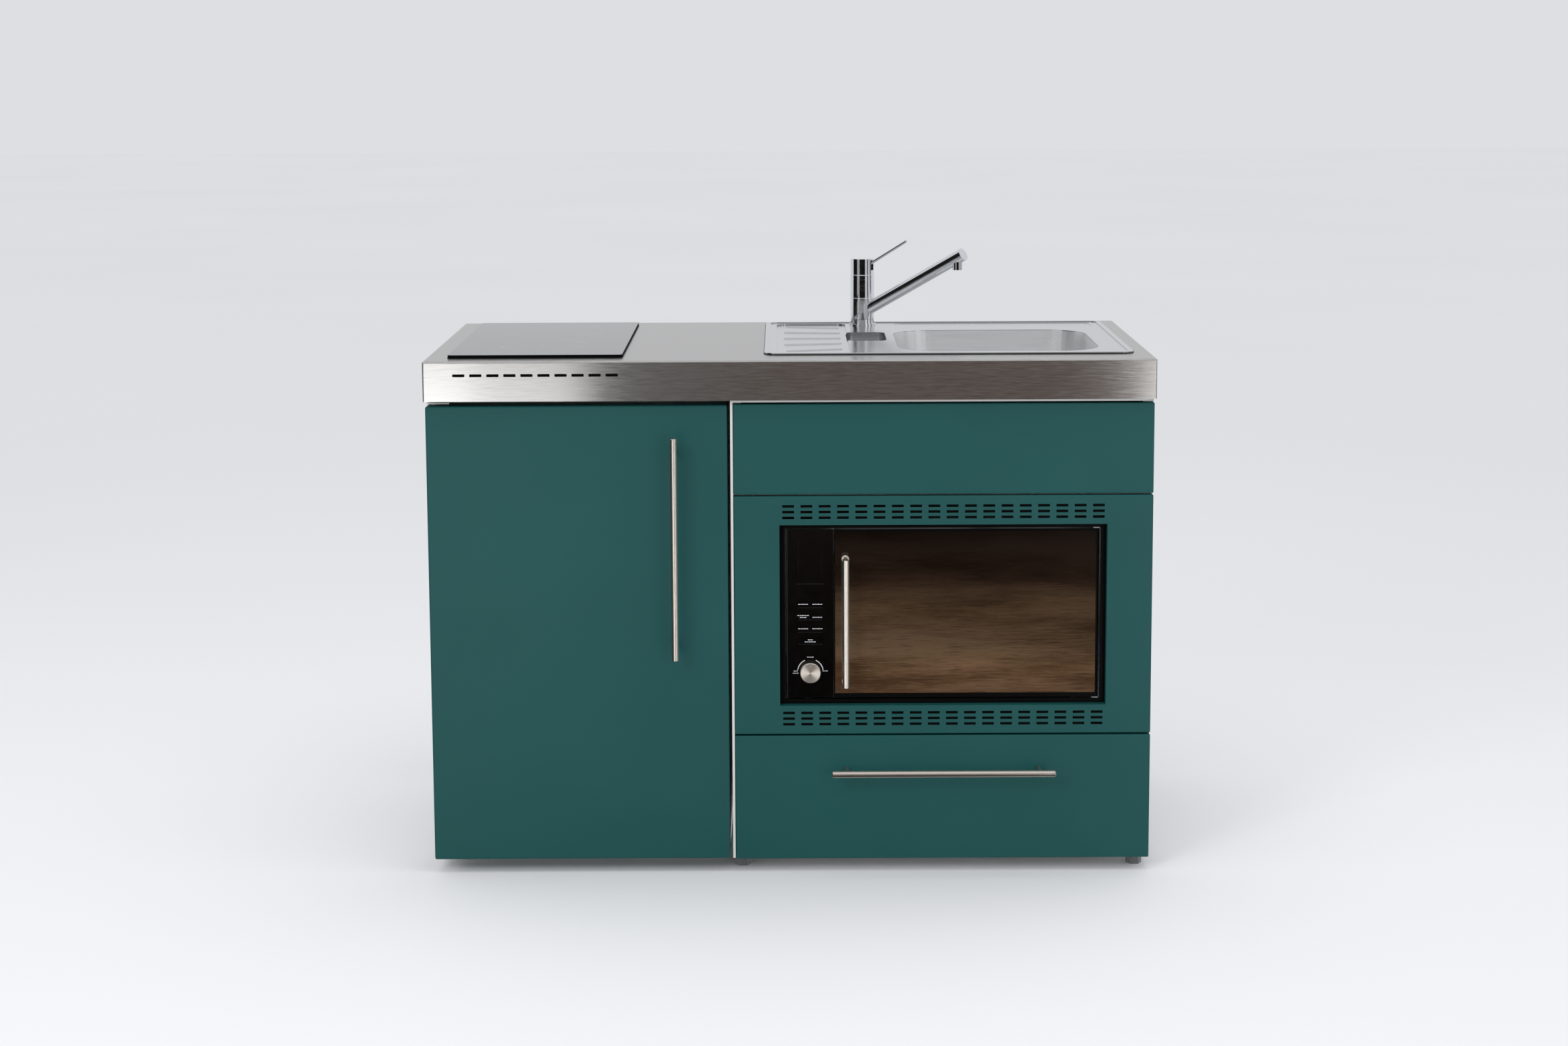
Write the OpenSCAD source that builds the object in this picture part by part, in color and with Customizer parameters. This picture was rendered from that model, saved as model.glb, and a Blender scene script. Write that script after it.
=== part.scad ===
// Kitchenette unit: steel worktop with a glass hob and an inset sink, over a refrigerator,
// a built-in microwave oven and a drawer. Millimetres, +Z up.
// The origin is on the floor, midway between the wall and the front of the handles.
// Depths (Y values below) are counted from the worktop's front face towards the wall.

/* [Worktop] */
// Overall width of the unit, measured over the worktop
unit_w = 1200; // [1120:10:1300]
// Depth of the worktop from its front apron to the wall
unit_d = 600; // [580:5:650]
// Height of the worktop's upper face above the floor
worktop_z = 865; // [855:5:900]
// Height of the worktop's folded aprons
apron_h = 66; // [62:1:80]
// Thickness of the worktop's steel sheet
worktop_t = 1.5; // [1.2:0.1:2]
// Outside radius of the worktop's folded edges
fold_r = 3; // [2.5:0.5:5]
// How far the door and the fronts stand in from the worktop's ends
end_margin = 2; // [0:0.5:5]
// How far the door and the fronts stand behind the worktop's front face
front_setback = 12; // [5:1:18]
// Number of vent slots in the apron below the hob
apron_slots = 10; // [4:1:12]
// Width of one apron slot
apron_slot_w = 20; // [12:1:24]
// Height of one apron slot
apron_slot_h = 4.7; // [3:0.1:6]
// Pitch of the apron slots
apron_slot_pitch = 27.8; // [25:0.1:30]
// Distance from the worktop's left end to the first apron slot
apron_slot_x = 49.5; // [40:0.5:70]
// Depth of the apron slots' centre line below the worktop's upper face
apron_slot_drop = 23; // [15:1:30]

/* [Hob] */
// Width of the glass hob
hob_w = 288; // [270:1:300]
// Thickness of the hob glass
hob_t = 6; // [4:0.5:8]
// Distance from the worktop's left end to the glass
hob_x = 36.7; // [32:0.1:50]
// Distance from the worktop's front to the glass
hob_y = 40; // [38:1:50]
// Distance from the glass to the wall
hob_back = 50; // [45:1:80]
// Radius of the rear heater
rear_heater_r = 90; // [80:1:100]
// Radius of the front heater
front_heater_r = 72; // [60:1:80]
// Depth of the tray below the hob glass
hob_tray_h = 52; // [45:1:56]

/* [Sink] */
// Width of the inset sink over its rim
sink_w = 614; // [600:1:620]
// Distance from the worktop's right end to the sink's rim
sink_end = 28; // [27:1:40]
// Distance from the worktop's front to the sink's rim
sink_y = 70; // [60:1:70]
// Distance from the sink's rim to the wall
sink_back = 31; // [30:1:45]
// Height of the sink's raised rim above the worktop
rim_h = 3.5; // [3:0.1:5]
// Width of the bowl at its mouth
bowl_w = 340; // [320:1:350]
// Depth of the bowl's mouth, front to back
bowl_l = 329; // [300:1:335]
// Depth of the bowl below the drainer deck
bowl_depth = 152; // [130:1:160]
// Corner radius of the bowl
bowl_r = 70; // [60:1:90]
// Distance from the sink's right edge to the bowl
bowl_side = 49; // [40:1:55]
// Distance from the sink's front edge to the bowl
bowl_front = 30; // [26:1:36]
// Number of raised ribs on the drainer
drainer_ribs = 5; // [3:1:6]

/* [Tap] */
// Distance from the sink's left edge to the tap
tap_x = 176; // [170:1:190]
// Distance from the sink's rear edge to the tap
tap_back = 44; // [40:1:48]
// Radius of the tap's body
tap_r = 22; // [20:0.5:24]
// Reach of the spout from the tap's axis
spout_reach = 214; // [190:1:230]
// Height of the spout's end above the tap's base
spout_end_h = 138; // [125:1:150]
// Radius of the spout's tube
spout_r = 11.7; // [10:0.1:12]
// Direction of the spout, degrees towards the front from the right
spout_turn = 35; // [0:1:60]
// Reach of the lever's tip from the tap's axis
lever_reach = 95; // [80:1:110]

/* [Refrigerator] */
// Width of the refrigerator door
door_w = 495; // [480:1:510]
// Thickness of the refrigerator door
door_t = 48; // [44:1:50]
// Height of the door's lower edge above the floor
door_z = 23; // [23:1:30]
// Gap between the door's top and the worktop's apron
door_top_gap = 9; // [8:0.5:14]
// Gap between the refrigerator door and the cabinet
side_gap = 5; // [4:0.5:8]
// Wall thickness of the insulated body
fridge_wall = 36; // [30:1:40]
// Gap between the refrigerator's back and the wall
fridge_back_gap = 55; // [50:1:60]
// Height of the compressor bay above the floor
bay_z = 200; // [195:1:220]
// Depth of the compressor bay
bay_d = 145; // [140:1:155]
// Height of the icebox
icebox_h = 125; // [110:1:130]

/* [Cabinet fronts] */
// Thickness of the folded sheet fronts
front_t = 15; // [12:0.5:18]
// Thickness of the fronts' steel sheet
sheet_t = 1.2; // [1:0.1:1.5]
// Thickness of the carcass sheet
carcass_t = 1.5; // [1.2:0.1:2]
// Width of the carcass's folded front edge that shows
hem = 4; // [3:0.1:5]
// Corner radius of the door and fronts, seen from the front
corner_r = 2.5; // [2:0.5:4]
// Radius of the eased edges round the door and fronts
edge_r = 2; // [1.5:0.1:3]
// Height of the fronts' lower edge above the floor
fronts_z = 22; // [22:1:26]
// Height of the drawer front
drawer_h = 211.5; // [205:0.5:216]
// Gap between the fronts
front_gap = 2.75; // [2:0.25:4]

/* [Microwave oven] */
// Width of the opening in the surround
opening_w = 541; // [536:1:545]
// Height of the opening in the surround
opening_h = 305; // [295:1:320]
// Height of the vent bands above and below the opening
vent_band = 48.5; // [47.5:0.5:52]
// Gap between the oven's front and the opening at each side
oven_side_gap = 11.5; // [9:0.5:14]
// Gap between the oven's front and the opening above and below
oven_top_gap = 10; // [8.5:0.5:11]
// Depth of the oven's casing
oven_d = 373; // [360:1:380]
// Width of the control panel
panel_w = 79; // [76:1:86]
// Thickness of the oven's door
oven_door_t = 28; // [24:1:30]
// Radius of the turntable
turntable_r = 135; // [120:1:140]
// Vent slots in each row
vent_columns = 18; // [10:1:18]
// Rows of vent slots above and below the oven
vent_rows = 3; // [2:1:3]
// Width of one vent slot
vent_w = 19.5; // [15:0.5:22]
// Height of one vent slot
vent_h = 4.4; // [3:0.1:5]
// Pitch of the vent slots along a row
vent_pitch_x = 30.1; // [28:0.1:31]
// Pitch of the rows of vent slots
vent_pitch_z = 9.6; // [8:0.1:10]
// Distance from the surround's edge to the first row's centre line
vent_edge = 17; // [16:0.5:18]
// Radius of the control knob
knob_r = 17; // [14:0.5:18]
// Travel of the push buttons
button_travel = 1.2; // [0.8:0.1:1.5]

/* [Handles] */
// Radius of the bar handles
bar_r = 6; // [5:0.5:8]
// Length of the bar handles
bar_l = 370; // [340:5:400]
// Distance between the bar handles' posts
post_pitch = 320; // [280:5:330]
// Distance from the front of the door to the bar's centre line
bar_out = 35; // [30:1:40]
// Radius of the handle posts
post_r = 4; // [3:0.5:5]
// Distance from the refrigerator door's free edge to its handle
fridge_bar_in = 87; // [60:1:100]
// Height of the refrigerator handle's middle below the door's top
fridge_bar_drop = 235; // [215:1:300]
// Height of the drawer handle above the drawer front's middle
drawer_bar_up = 49; // [30:1:60]
// Length of the oven's handle
oven_bar_l = 215.5; // [190:0.5:230]
// Radius of the oven's handle
oven_bar_r = 5.5; // [5:0.5:6.5]

/* [Drawer] */
// Width of the gap that holds one drawer runner
runner_w = 13; // [12.6:0.1:14]
// Height of the drawer's sides
drawer_box_h = 155; // [120:1:160]
// Depth of the drawer box
drawer_box_d = 450; // [400:5:470]

/* [Hidden] */
$fn = 48;
cut = 1;              // how far a cutting shape runs past a face
seat_gap = 0.3;       // gap between pieces that move past each other
pin_fit = 0.06;       // radial clearance of a pin in its bore
slice = 0.1;          // thickness of the thin sections that a hull joins

// Places across the unit
left = -unit_w / 2;
right = unit_w / 2;
handle_out = bar_out + bar_r - front_setback;
front_y = -(unit_d - handle_out) / 2;
apron_z = worktop_z - apron_h;
apron_lip = 12;
carcass_z = apron_z - 0.6;

// Refrigerator
door_x = [left + end_margin, left + end_margin + door_w];
door_y = [front_setback, front_setback + door_t];
door_zz = [door_z, apron_z - door_top_gap];
door_r = corner_r + 1;
gasket_t = 7.7;
body_x = [door_x[0] + 1, door_x[1] - 1];
body_y = [door_y[1] + gasket_t + seat_gap, unit_d - fridge_back_gap];
body_z = [22, carcass_z];
shell_t = 1;
liner_t = 1.5;
hinge_x = door_x[0] + 12;
hinge_y = door_y[0] + door_t / 2;
hinge_pin_r = 4;
hinge_pin_l = 15;
bay_y = body_y[1] - bay_d;
room_x = grow(body_x, -fridge_wall);
room_y = [body_y[0], body_y[1] - fridge_wall];
room_z = [body_z[0] + fridge_wall, body_z[1] - fridge_wall];
step_y = bay_y - fridge_wall;
step_z = bay_z + fridge_wall;
shelf_y = [body_y[0] + 107, room_y[1] - 8];
shelf_levels = [room_z[0] + 272, room_z[0] + 412];
ledge_w = 8;
ledge_h = 6;
icebox_z = [room_z[1] - 12 - icebox_h, room_z[1] - 12];
icebox_x = grow(room_x, -3);
icebox_y = [room_y[0] + 137, room_y[1] - 8];
icebox_t = 2;
flap_t = 6;
flap_y = icebox_y[0] + flap_t / 2;
flap_z = icebox_z[1] - icebox_t - 5;
flap_pin_r = 2;
thermostat_y = shelf_y[0] + 60;
thermostat_z = (shelf_levels[1] + icebox_z[0]) / 2;
thermostat_d = 36;
dial_shaft_r = 3;
dial_shaft_l = 11;
rack_x = [room_x[0] + 16, room_x[1] - 25];
rack_d = 98;
rack_levels = [room_z[0] + 24, room_z[0] + 232, room_z[0] + 400];
rack_heights = [90, 60, 60];
gasket_w = 12;

// Cabinet
cab_x = [door_x[1] + side_gap, right - end_margin];
cab_y = [front_setback, unit_d - 10];
cab_z = [24, carcass_z];
front_back_y = front_setback + front_t;
front_x = [cab_x[0] + hem + 0.8, cab_x[1]];
drawer_zz = [fronts_z, fronts_z + drawer_h];
surround_h = opening_h + 2 * vent_band;
surround_zz = [drawer_zz[1] + front_gap, drawer_zz[1] + front_gap + surround_h];
sink_front_zz = [surround_zz[1] + front_gap, carcass_z - hem - 3.2];
inner_x = grow(cab_x, -carcass_t);
front_flange = 12;
service_x = [cab_x[0] + 180, cab_x[1] - 60];
service_z = [cab_z[0] + 420, cab_z[1] - 60];

// Oven
opening_cx = (front_x[0] + front_x[1]) / 2;
opening_cz = surround_zz[0] + surround_h / 2;
opening_x = about(opening_cx, opening_w);
opening_z = about(opening_cz, opening_h);
oven_x = grow(opening_x, -oven_side_gap);
oven_z = grow(opening_z, -oven_top_gap);
oven_y = front_back_y;
trim_gap = 2.5;
trim_t = 1.5;
panel_x = [oven_x[0], oven_x[0] + panel_w];
oven_door_x = [panel_x[1] + 1, oven_x[1]];
casing_y = [oven_y + oven_door_t + 2, oven_y + oven_door_t + 2 + oven_d];
casing_x = grow(oven_x, -3);
casing_z = grow(oven_z, 2);
casing_t = 0.8;
ear_t = 1.5;
oven_hinge_r = 4;
oven_hinge_x = oven_x[1] - oven_hinge_r;
oven_hinge_y = oven_y + oven_hinge_r + 1;
oven_pin_r = 2;
foot_h = 12.5;
oven_shelf_z = casing_z[0] - foot_h;
glass_t = 3;
glass_proud = 0.4;
glass_fit = 0.2;
glass_x = [oven_door_x[0] + glass_fit, oven_x[1] - 5];
glass_z = [oven_z[0] + 7.5, oven_z[1] - 3.5];
cavity_x = [panel_x[1] + 33, casing_x[1] - 43];
cavity_y = [casing_y[0], casing_y[1] - 30];
cavity_z = [casing_z[0] + 27.5, casing_z[1] - 26.5];
cavity_t = 1;
table_x = (cavity_x[0] + cavity_x[1]) / 2;
table_y = (cavity_y[0] + cavity_y[1]) / 2;
table_shaft_r = 3.4;
roller_r = 6.5;
table_z = cavity_z[0] + 2 * roller_r + 2 * seat_gap;
knob_x = oven_x[0] + 39;
knob_z = oven_z[0] + 44.5;
knob_proud = 13;
knob_shaft_r = 3;
button_dx = 11.8;
button_size = [18.5, 8];
start_size = [41, 8];
button_gap = 0.35;
button_rows = [159, 138.5, 117.5];
start_row = 97;
panel_t = 3;
board_y = oven_y + 15;
display_x = about(knob_x, 40);
display_z = [oven_z[1] - 79.5, oven_z[1] - 14.5];
fan_x = (casing_x[0] + cavity_x[0]) / 2;
fan_z = opening_cz + 25.5;
fan_r = 38;
fan_shaft_r = 2.5;
fan_hub_y = [casing_y[1] - 34, casing_y[1] - 20];
oven_bar_x = oven_door_x[0] + 17.5;
oven_bar_z = (oven_z[0] + oven_z[1]) / 2 - 11;

// Drawer
box_x = grow(inner_x, -runner_w);
box_y = [front_back_y, front_back_y + drawer_box_d];
box_z = [drawer_zz[0] + 23, drawer_zz[0] + 23 + drawer_box_h];
runner_z = box_z[0] + drawer_box_h / 2;
runner_h = 45;
runner_y = [front_back_y + 3, front_back_y + drawer_box_d];
member_t = 1.2;
// Where the sliding members start from the wall: the middle one clears the cabinet's front hem
middle_start = max(member_t, hem - carcass_t) + seat_gap;
inner_start = middle_start + member_t + seat_gap;

// Hob
hob_d = unit_d - hob_y - hob_back;
front_heater_share = 0.294;
rear_heater_share = 0.716;
hob_xx = [left + hob_x, left + hob_x + hob_w];
hob_yy = [hob_y, hob_y + hob_d];
hob_lap = 10;
hob_cut_x = grow(hob_xx, -hob_lap);
hob_cut_y = grow(hob_yy, -hob_lap);
tray_gap = 2;
tray_x = grow(hob_cut_x, -tray_gap);
tray_y = grow(hob_cut_y, -tray_gap);
tray_t = 1;
hob_cx = (hob_xx[0] + hob_xx[1]) / 2;
rear_heater_y = hob_yy[0] + rear_heater_share * hob_d;
front_heater_y = hob_yy[0] + front_heater_share * hob_d;

// Sink
sink_d = unit_d - sink_y - sink_back;
sink_x = [right - sink_end - sink_w, right - sink_end];
sink_yy = [sink_y, sink_y + sink_d];
sink_corner_r = 22;
rim_w = 9;
sink_lap = 8;
deck_h = 2;
deck_z = worktop_z + deck_h;
sink_t = 1;
bowl_x = [sink_x[1] - bowl_side - bowl_w, sink_x[1] - bowl_side];
bowl_y = [sink_yy[0] + bowl_front, sink_yy[0] + bowl_front + bowl_l];
bowl_cx = (bowl_x[0] + bowl_x[1]) / 2;
bowl_floor_z = deck_z - bowl_depth;
bowl_taper = 14;
bowl_fillet = 26;
drain_y = bowl_y[1] - 99;
drain_r = 44.5;
drainer_x = [sink_x[0] + 20, sink_x[0] + 144];
drainer_y = [sink_yy[0] + 30, sink_yy[1] - 24];
drainer_drop = 2.5;
pocket_x = [sink_x[0] + 142, bowl_x[0] - 14];
pocket_y = [sink_yy[0] + 193, sink_yy[0] + 330];
pocket_drop = 14;
rib_r = 7.25;
rib_rise = 2;
tap_cx = sink_x[0] + tap_x;
tap_cy = sink_yy[1] - tap_back;

// Tap, heights above its base
spout_z = [12.3, 50];
spout_z0 = 23.5;
spout_rise = atan2(spout_end_h - spout_z0, spout_reach);
column_r = 15;
mid_z = [50.3, 92];
cap_z = [92.3, 121.5];
stem_r = 12;
lever_z = 102.8;
lever_rise = 29.6;
lever_hub_r = 5.5;
lever_pivot_r = 2;
lever_drop = 20;

// Waste
waste_r = 43.5;
waste_drop = 52;
waste_outlet = 70;
strainer_seat = 8;
pipe_r = 20;
pipe_wall = 2.5;
pipe_z = bowl_floor_z - sink_t - 31;
bend_r = 40;
trap_y = cab_y[1] - 80;
trap_w = 80;
trap_leg = 60;
pipe_end = 2;
pipe_out_z = pipe_z - 36;

// A span [low, high] made longer at both ends, and a span of a width about its middle
function grow(span, by) = [span[0] - by, span[1] + by];
function about(middle, w) = [middle - w / 2, middle + w / 2];

// Moves a shape from worktop depths to the unit's own frame
module placed() {
    translate([0, front_y, 0]) children();
}

// A block between three spans
module block(x, y, z) {
    translate([x[0], y[0], z[0]]) cube([x[1] - x[0], y[1] - y[0], z[1] - z[0]]);
}

// A flat shape in X and Z, run along Y
module along_y(y) {
    translate([0, y[1], 0]) rotate([90, 0, 0]) linear_extrude(y[1] - y[0]) children();
}

// A flat shape in Y and Z, run along X
module along_x(x) {
    translate([x[0], 0, 0]) rotate([90, 0, 90]) linear_extrude(x[1] - x[0]) children();
}

// A flat shape in X and Y, run along Z
module along_z(z) {
    translate([0, 0, z[0]]) linear_extrude(z[1] - z[0]) children();
}

// A rectangle whose chosen corners are round: lower left, lower right, upper right, upper left
module rounded(a, b, r, round_at = [1, 1, 1, 1]) {
    centres = [[a[0] + r, b[0] + r], [a[1] - r, b[0] + r], [a[1] - r, b[1] - r], [a[0] + r, b[1] - r]];
    translate([a[0] + r, b[0]]) square([a[1] - a[0] - 2 * r, b[1] - b[0]]);
    translate([a[0], b[0] + r]) square([a[1] - a[0], b[1] - b[0] - 2 * r]);
    for (i = [0:3]) {
        translate(centres[i]) {
            if (round_at[i] == 1) circle(r);
            else square(2 * r, center = true);
        }
    }
}

// A flat front: rounded corners seen from the front, and its four front edges eased
module front_block(x, y, z, corner, edge) {
    intersection() {
        along_y(y) rounded(x, z, corner);
        along_z(z) rounded(x, y, edge, [1, 1, 0, 0]);
        along_x(x) rounded(y, z, edge, [1, 0, 0, 1]);
    }
}

// A folded sheet front, hollow, its open back edged by an inward flange
module pan(x, y, z, t, flange) {
    difference() {
        front_block(x, y, z, corner_r, edge_r);
        front_block(grow(x, -t), [y[0] + t, y[1] - t], grow(z, -t), corner_r - t / 2, edge_r - t / 2);
        block(grow(x, -t - flange), [y[1] - t - cut, y[1] + cut], grow(z, -t - flange));
    }
}

// A round rod between two points on a line along X, Y or Z
module rod_x(x, y, z, r) {
    translate([x[0], y, z]) rotate([0, 90, 0]) cylinder(r = r, h = x[1] - x[0]);
}
module rod_y(x, y, z, r) {
    translate([x, y[1], z]) rotate([90, 0, 0]) cylinder(r = r, h = y[1] - y[0]);
}
module rod_z(x, y, z, r) {
    translate([x, y, z[0]]) cylinder(r = r, h = z[1] - z[0]);
}

// ---- Worktop ----

// The worktop's folded form, drawn in by a margin from its outer faces
module folded_top(margin, r, z) {
    x = [left + margin, right - margin];
    y = [margin, unit_d - margin];
    intersection() {
        along_x(x) rounded(y, z, r, [0, 0, 1, 1]);
        along_y(y) rounded(x, z, r, [0, 0, 1, 1]);
        along_z(z) rounded(x, y, r);
    }
}

module worktop() color("silver") placed() {
    lip = apron_lip;
    slot_z = worktop_z - apron_slot_drop;
    difference() {
        folded_top(0, fold_r, [apron_z, worktop_z]);
        folded_top(worktop_t, fold_r - worktop_t, [apron_z + worktop_t, worktop_z - worktop_t]);
        block([left + lip, right - lip], [lip, unit_d - lip], [apron_z - cut, apron_z + worktop_t + cut]);
        along_z([worktop_z - worktop_t - cut, worktop_z + cut]) rounded(hob_cut_x, hob_cut_y, 6);
        along_z([worktop_z - worktop_t - cut, worktop_z + cut])
            rounded(grow(sink_x, -sink_lap), grow(sink_yy, -sink_lap), sink_corner_r - sink_lap);
        for (i = [0:apron_slots - 1]) {
            x0 = left + apron_slot_x + i * apron_slot_pitch;
            along_y([-cut, worktop_t + cut])
                rounded([x0, x0 + apron_slot_w], about(slot_z, apron_slot_h), 1);
        }
    }
}

// Channel rails that carry the worktop on the refrigerator and the cabinet
module worktop_rails() color("gainsboro") placed() {
    rail_t = 1.5;
    rail_w = 20;
    inset = apron_lip + 2;
    hob_gap = 10;
    sink_gap = 22;
    z = [carcass_z, worktop_z - worktop_t];
    front_rail_y = [inset, inset + rail_w];
    rear_y = [unit_d - inset - rail_w, unit_d - inset];
    ends = [left + inset, right - inset];
    rails = [ends[0], hob_xx[1] + hob_gap, sink_x[0] - sink_gap - rail_w, ends[1] - rail_w];
    for (y = [front_rail_y, rear_y]) {
        difference() {
            block(ends, y, z);
            block(grow(ends, cut), [y[0] + rail_t, y[1] - rail_t], [z[0] - cut, z[1] - rail_t]);
        }
    }
    for (x = rails) {
        difference() {
            block([x, x + rail_w], [front_rail_y[1] - rail_t, rear_y[0] + rail_t], z);
            block([x + rail_t, x + rail_w - rail_t], [front_rail_y[0], rear_y[1]],
                [z[0] - cut, z[1] - rail_t]);
        }
    }
}

// ---- Cabinet ----

module cabinet_shell() color("whitesmoke") placed() {
    t = carcass_t;
    top_lip = 25;
    side_lip = 16;
    cross_lip = 13;
    floor_gap = 3;
    end_gap = 6;
    service_r = 12;
    hem_y = [cab_y[0], front_back_y];
    rail_y = [front_back_y, front_back_y + t];
    difference() {
        union() {
            block([cab_x[0], cab_x[0] + t], cab_y, cab_z);
            block([cab_x[0], cab_x[0] + hem], hem_y, cab_z);
            block([cab_x[1] - t, cab_x[1]], [front_back_y + seat_gap, cab_y[1]], cab_z);
            block(cab_x, [front_back_y + floor_gap, cab_y[1]], [cab_z[0], cab_z[0] + t]);
            block(cab_x, [cab_y[1] - t, cab_y[1]], cab_z);
            // Folded top edge and the flanges that the worktop's rails stand on
            block([cab_x[0], cab_x[1] - end_gap], hem_y, [cab_z[1] - hem, cab_z[1]]);
            block(cab_x, [front_back_y, front_back_y + top_lip], [cab_z[1] - t, cab_z[1]]);
            block(cab_x, [cab_y[1] - top_lip, cab_y[1]], [cab_z[1] - t, cab_z[1]]);
            block([cab_x[0], cab_x[0] + top_lip], [front_back_y, cab_y[1]], [cab_z[1] - t, cab_z[1]]);
            block([cab_x[1] - top_lip, cab_x[1]], [front_back_y, cab_y[1]], [cab_z[1] - t, cab_z[1]]);
            // Flanges that the fixed fronts are screwed to
            for (x = [[inner_x[0], inner_x[0] + side_lip], [inner_x[1] - side_lip, inner_x[1]]]) {
                block(x, rail_y, [surround_zz[0], cab_z[1]]);
            }
            block(inner_x, rail_y, [surround_zz[0] + seat_gap, surround_zz[0] + cross_lip]);
            block(inner_x, rail_y, [surround_zz[1] - cross_lip, sink_front_zz[0] + cross_lip]);
        }
        along_y([cab_y[1] - t - cut, cab_y[1] + cut]) rounded(service_x, service_z, service_r);
    }
}

module microwave_shelf() color("gainsboro") placed() {
    t = 1.5;
    skirt = 22;
    front_gap_y = 15;
    back_y = 60;
    y = [front_back_y + front_gap_y, casing_y[1] + back_y];
    z = [oven_shelf_z - t, oven_shelf_z];
    skirt_z = [oven_shelf_z - skirt, oven_shelf_z];
    block(inner_x, y, z);
    block([inner_x[0], inner_x[0] + t], y, skirt_z);
    block([inner_x[1] - t, inner_x[1]], y, skirt_z);
    block(inner_x, [y[0], y[0] + t], skirt_z);
    block(inner_x, [y[1] - t, y[1]], skirt_z);
}

module sink_front() color("darkslategray") placed() {
    pan(front_x, [front_setback, front_back_y], sink_front_zz, sheet_t, front_flange);
}

module microwave_surround() color("darkslategray") placed() {
    y = [front_setback, front_back_y];
    row_l = (vent_columns - 1) * vent_pitch_x + vent_w;
    difference() {
        union() {
            pan(front_x, y, surround_zz, sheet_t, front_flange);
            block(grow(opening_x, sheet_t), [y[0] + sheet_t / 2, y[1]], grow(opening_z, sheet_t));
        }
        block(opening_x, grow(y, cut), opening_z);
        for (row = [0:vent_rows - 1]) {
            drop = vent_edge + row * vent_pitch_z;
            for (z = [surround_zz[0] + drop, surround_zz[1] - drop]) {
                for (column = [0:vent_columns - 1]) {
                    x = opening_cx - row_l / 2 + column * vent_pitch_x;
                    block([x, x + vent_w], grow([y[0], y[0] + sheet_t], cut), about(z, vent_h));
                }
            }
        }
    }
}

// Levelling feet: a pad and a threaded stem up to what stands on it
module foot(x, y, top, pad_r, pad_h, sides) {
    stem_r = 5;
    translate([x, y, 0]) cylinder(r = pad_r, h = pad_h, $fn = sides);
    rod_z(x, y, [0, top], stem_r);
}

module levelling_feet() color("lightgray") placed() {
    fridge_pad_r = 14.5;
    fridge_pad_h = 7;
    fridge_foot_x = 26.5;
    fridge_foot_y = [37, 25];
    cabinet_pad_r = 13.5;
    cabinet_pad_h = 17;
    cabinet_foot_x = [16, 19.5];
    cabinet_foot_y = [30, 45];
    for (x = grow(body_x, -fridge_foot_x), y = [body_y[0] + fridge_foot_y[0], body_y[1] - fridge_foot_y[1]]) {
        foot(x, y, body_z[0], fridge_pad_r, fridge_pad_h, $fn);
    }
    for (x = [cab_x[0] + cabinet_foot_x[0], cab_x[1] - cabinet_foot_x[1]]) {
        for (y = [front_back_y + cabinet_foot_y[0], cab_y[1] - cabinet_foot_y[1]]) {
            foot(x, y, cab_z[0], cabinet_pad_r, cabinet_pad_h, 6);
        }
    }
}

// ---- Hob ----

module hob_glass() color("black") placed() {
    bevel = 1.2;
    hob_corner_r = 8;
    intersection() {
        along_z([worktop_z, worktop_z + hob_t]) rounded(hob_xx, hob_yy, hob_corner_r);
        along_x(grow(hob_xx, cut)) rounded(hob_yy, [worktop_z, worktop_z + hob_t], bevel, [0, 0, 1, 1]);
        along_y(grow(hob_yy, cut)) rounded(hob_xx, [worktop_z, worktop_z + hob_t], bevel, [0, 0, 1, 1]);
    }
}

module hob_tray() color("lightgray") placed() {
    z = [worktop_z - hob_tray_h, worktop_z];
    difference() {
        block(tray_x, tray_y, z);
        block(grow(tray_x, -tray_t), grow(tray_y, -tray_t), [z[0] + tray_t, z[1] + cut]);
    }
}

// A radiant heater: an insulated dish with a ribbon coil, on a bracket from the tray
module heater(y, r) {
    dish_h = 26;
    base_t = 8;
    rim = 8;
    coil_w = 3;
    coil_h = 7;
    coils = 4;
    bracket_w = 24;
    floor_z = worktop_z - hob_tray_h + tray_t;
    base_z = worktop_z - dish_h + base_t;
    difference() {
        rod_z(hob_cx, y, [worktop_z - dish_h, worktop_z], r);
        rod_z(hob_cx, y, [base_z, worktop_z + cut], r - rim);
    }
    for (ring = [1:coils]) {
        ring_r = (r - rim - 2 * coil_w) * ring / coils;
        translate([hob_cx, y, base_z]) rotate_extrude() translate([ring_r, 0]) square([coil_w, coil_h]);
    }
    block(about(hob_cx, bracket_w), about(y, r), [floor_z, worktop_z - dish_h]);
}

module hob_heaters() color("dimgray") placed() {
    heater(rear_heater_y, rear_heater_r);
    heater(front_heater_y, front_heater_r);
}

// ---- Sink ----

// The bowl as a solid, drawn in by a margin: straight mouth, tapering sides, filleted floor
module bowl_form(margin, floor_z, top_z) {
    steps = 6;
    fillet = bowl_fillet - margin;
    floor_r = bowl_r - margin - 8;
    hull() {
        along_z([top_z - slice, top_z])
            rounded(grow(bowl_x, -margin), grow(bowl_y, -margin), bowl_r - margin);
        for (i = [0:steps]) {
            a = i * 90 / steps;
            inset = margin + bowl_taper + fillet * (1 - cos(a));
            z = floor_z + fillet * (1 - sin(a));
            along_z([z, z + slice]) rounded(grow(bowl_x, -inset), grow(bowl_y, -inset), floor_r, $fn = 32);
        }
    }
}

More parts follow.
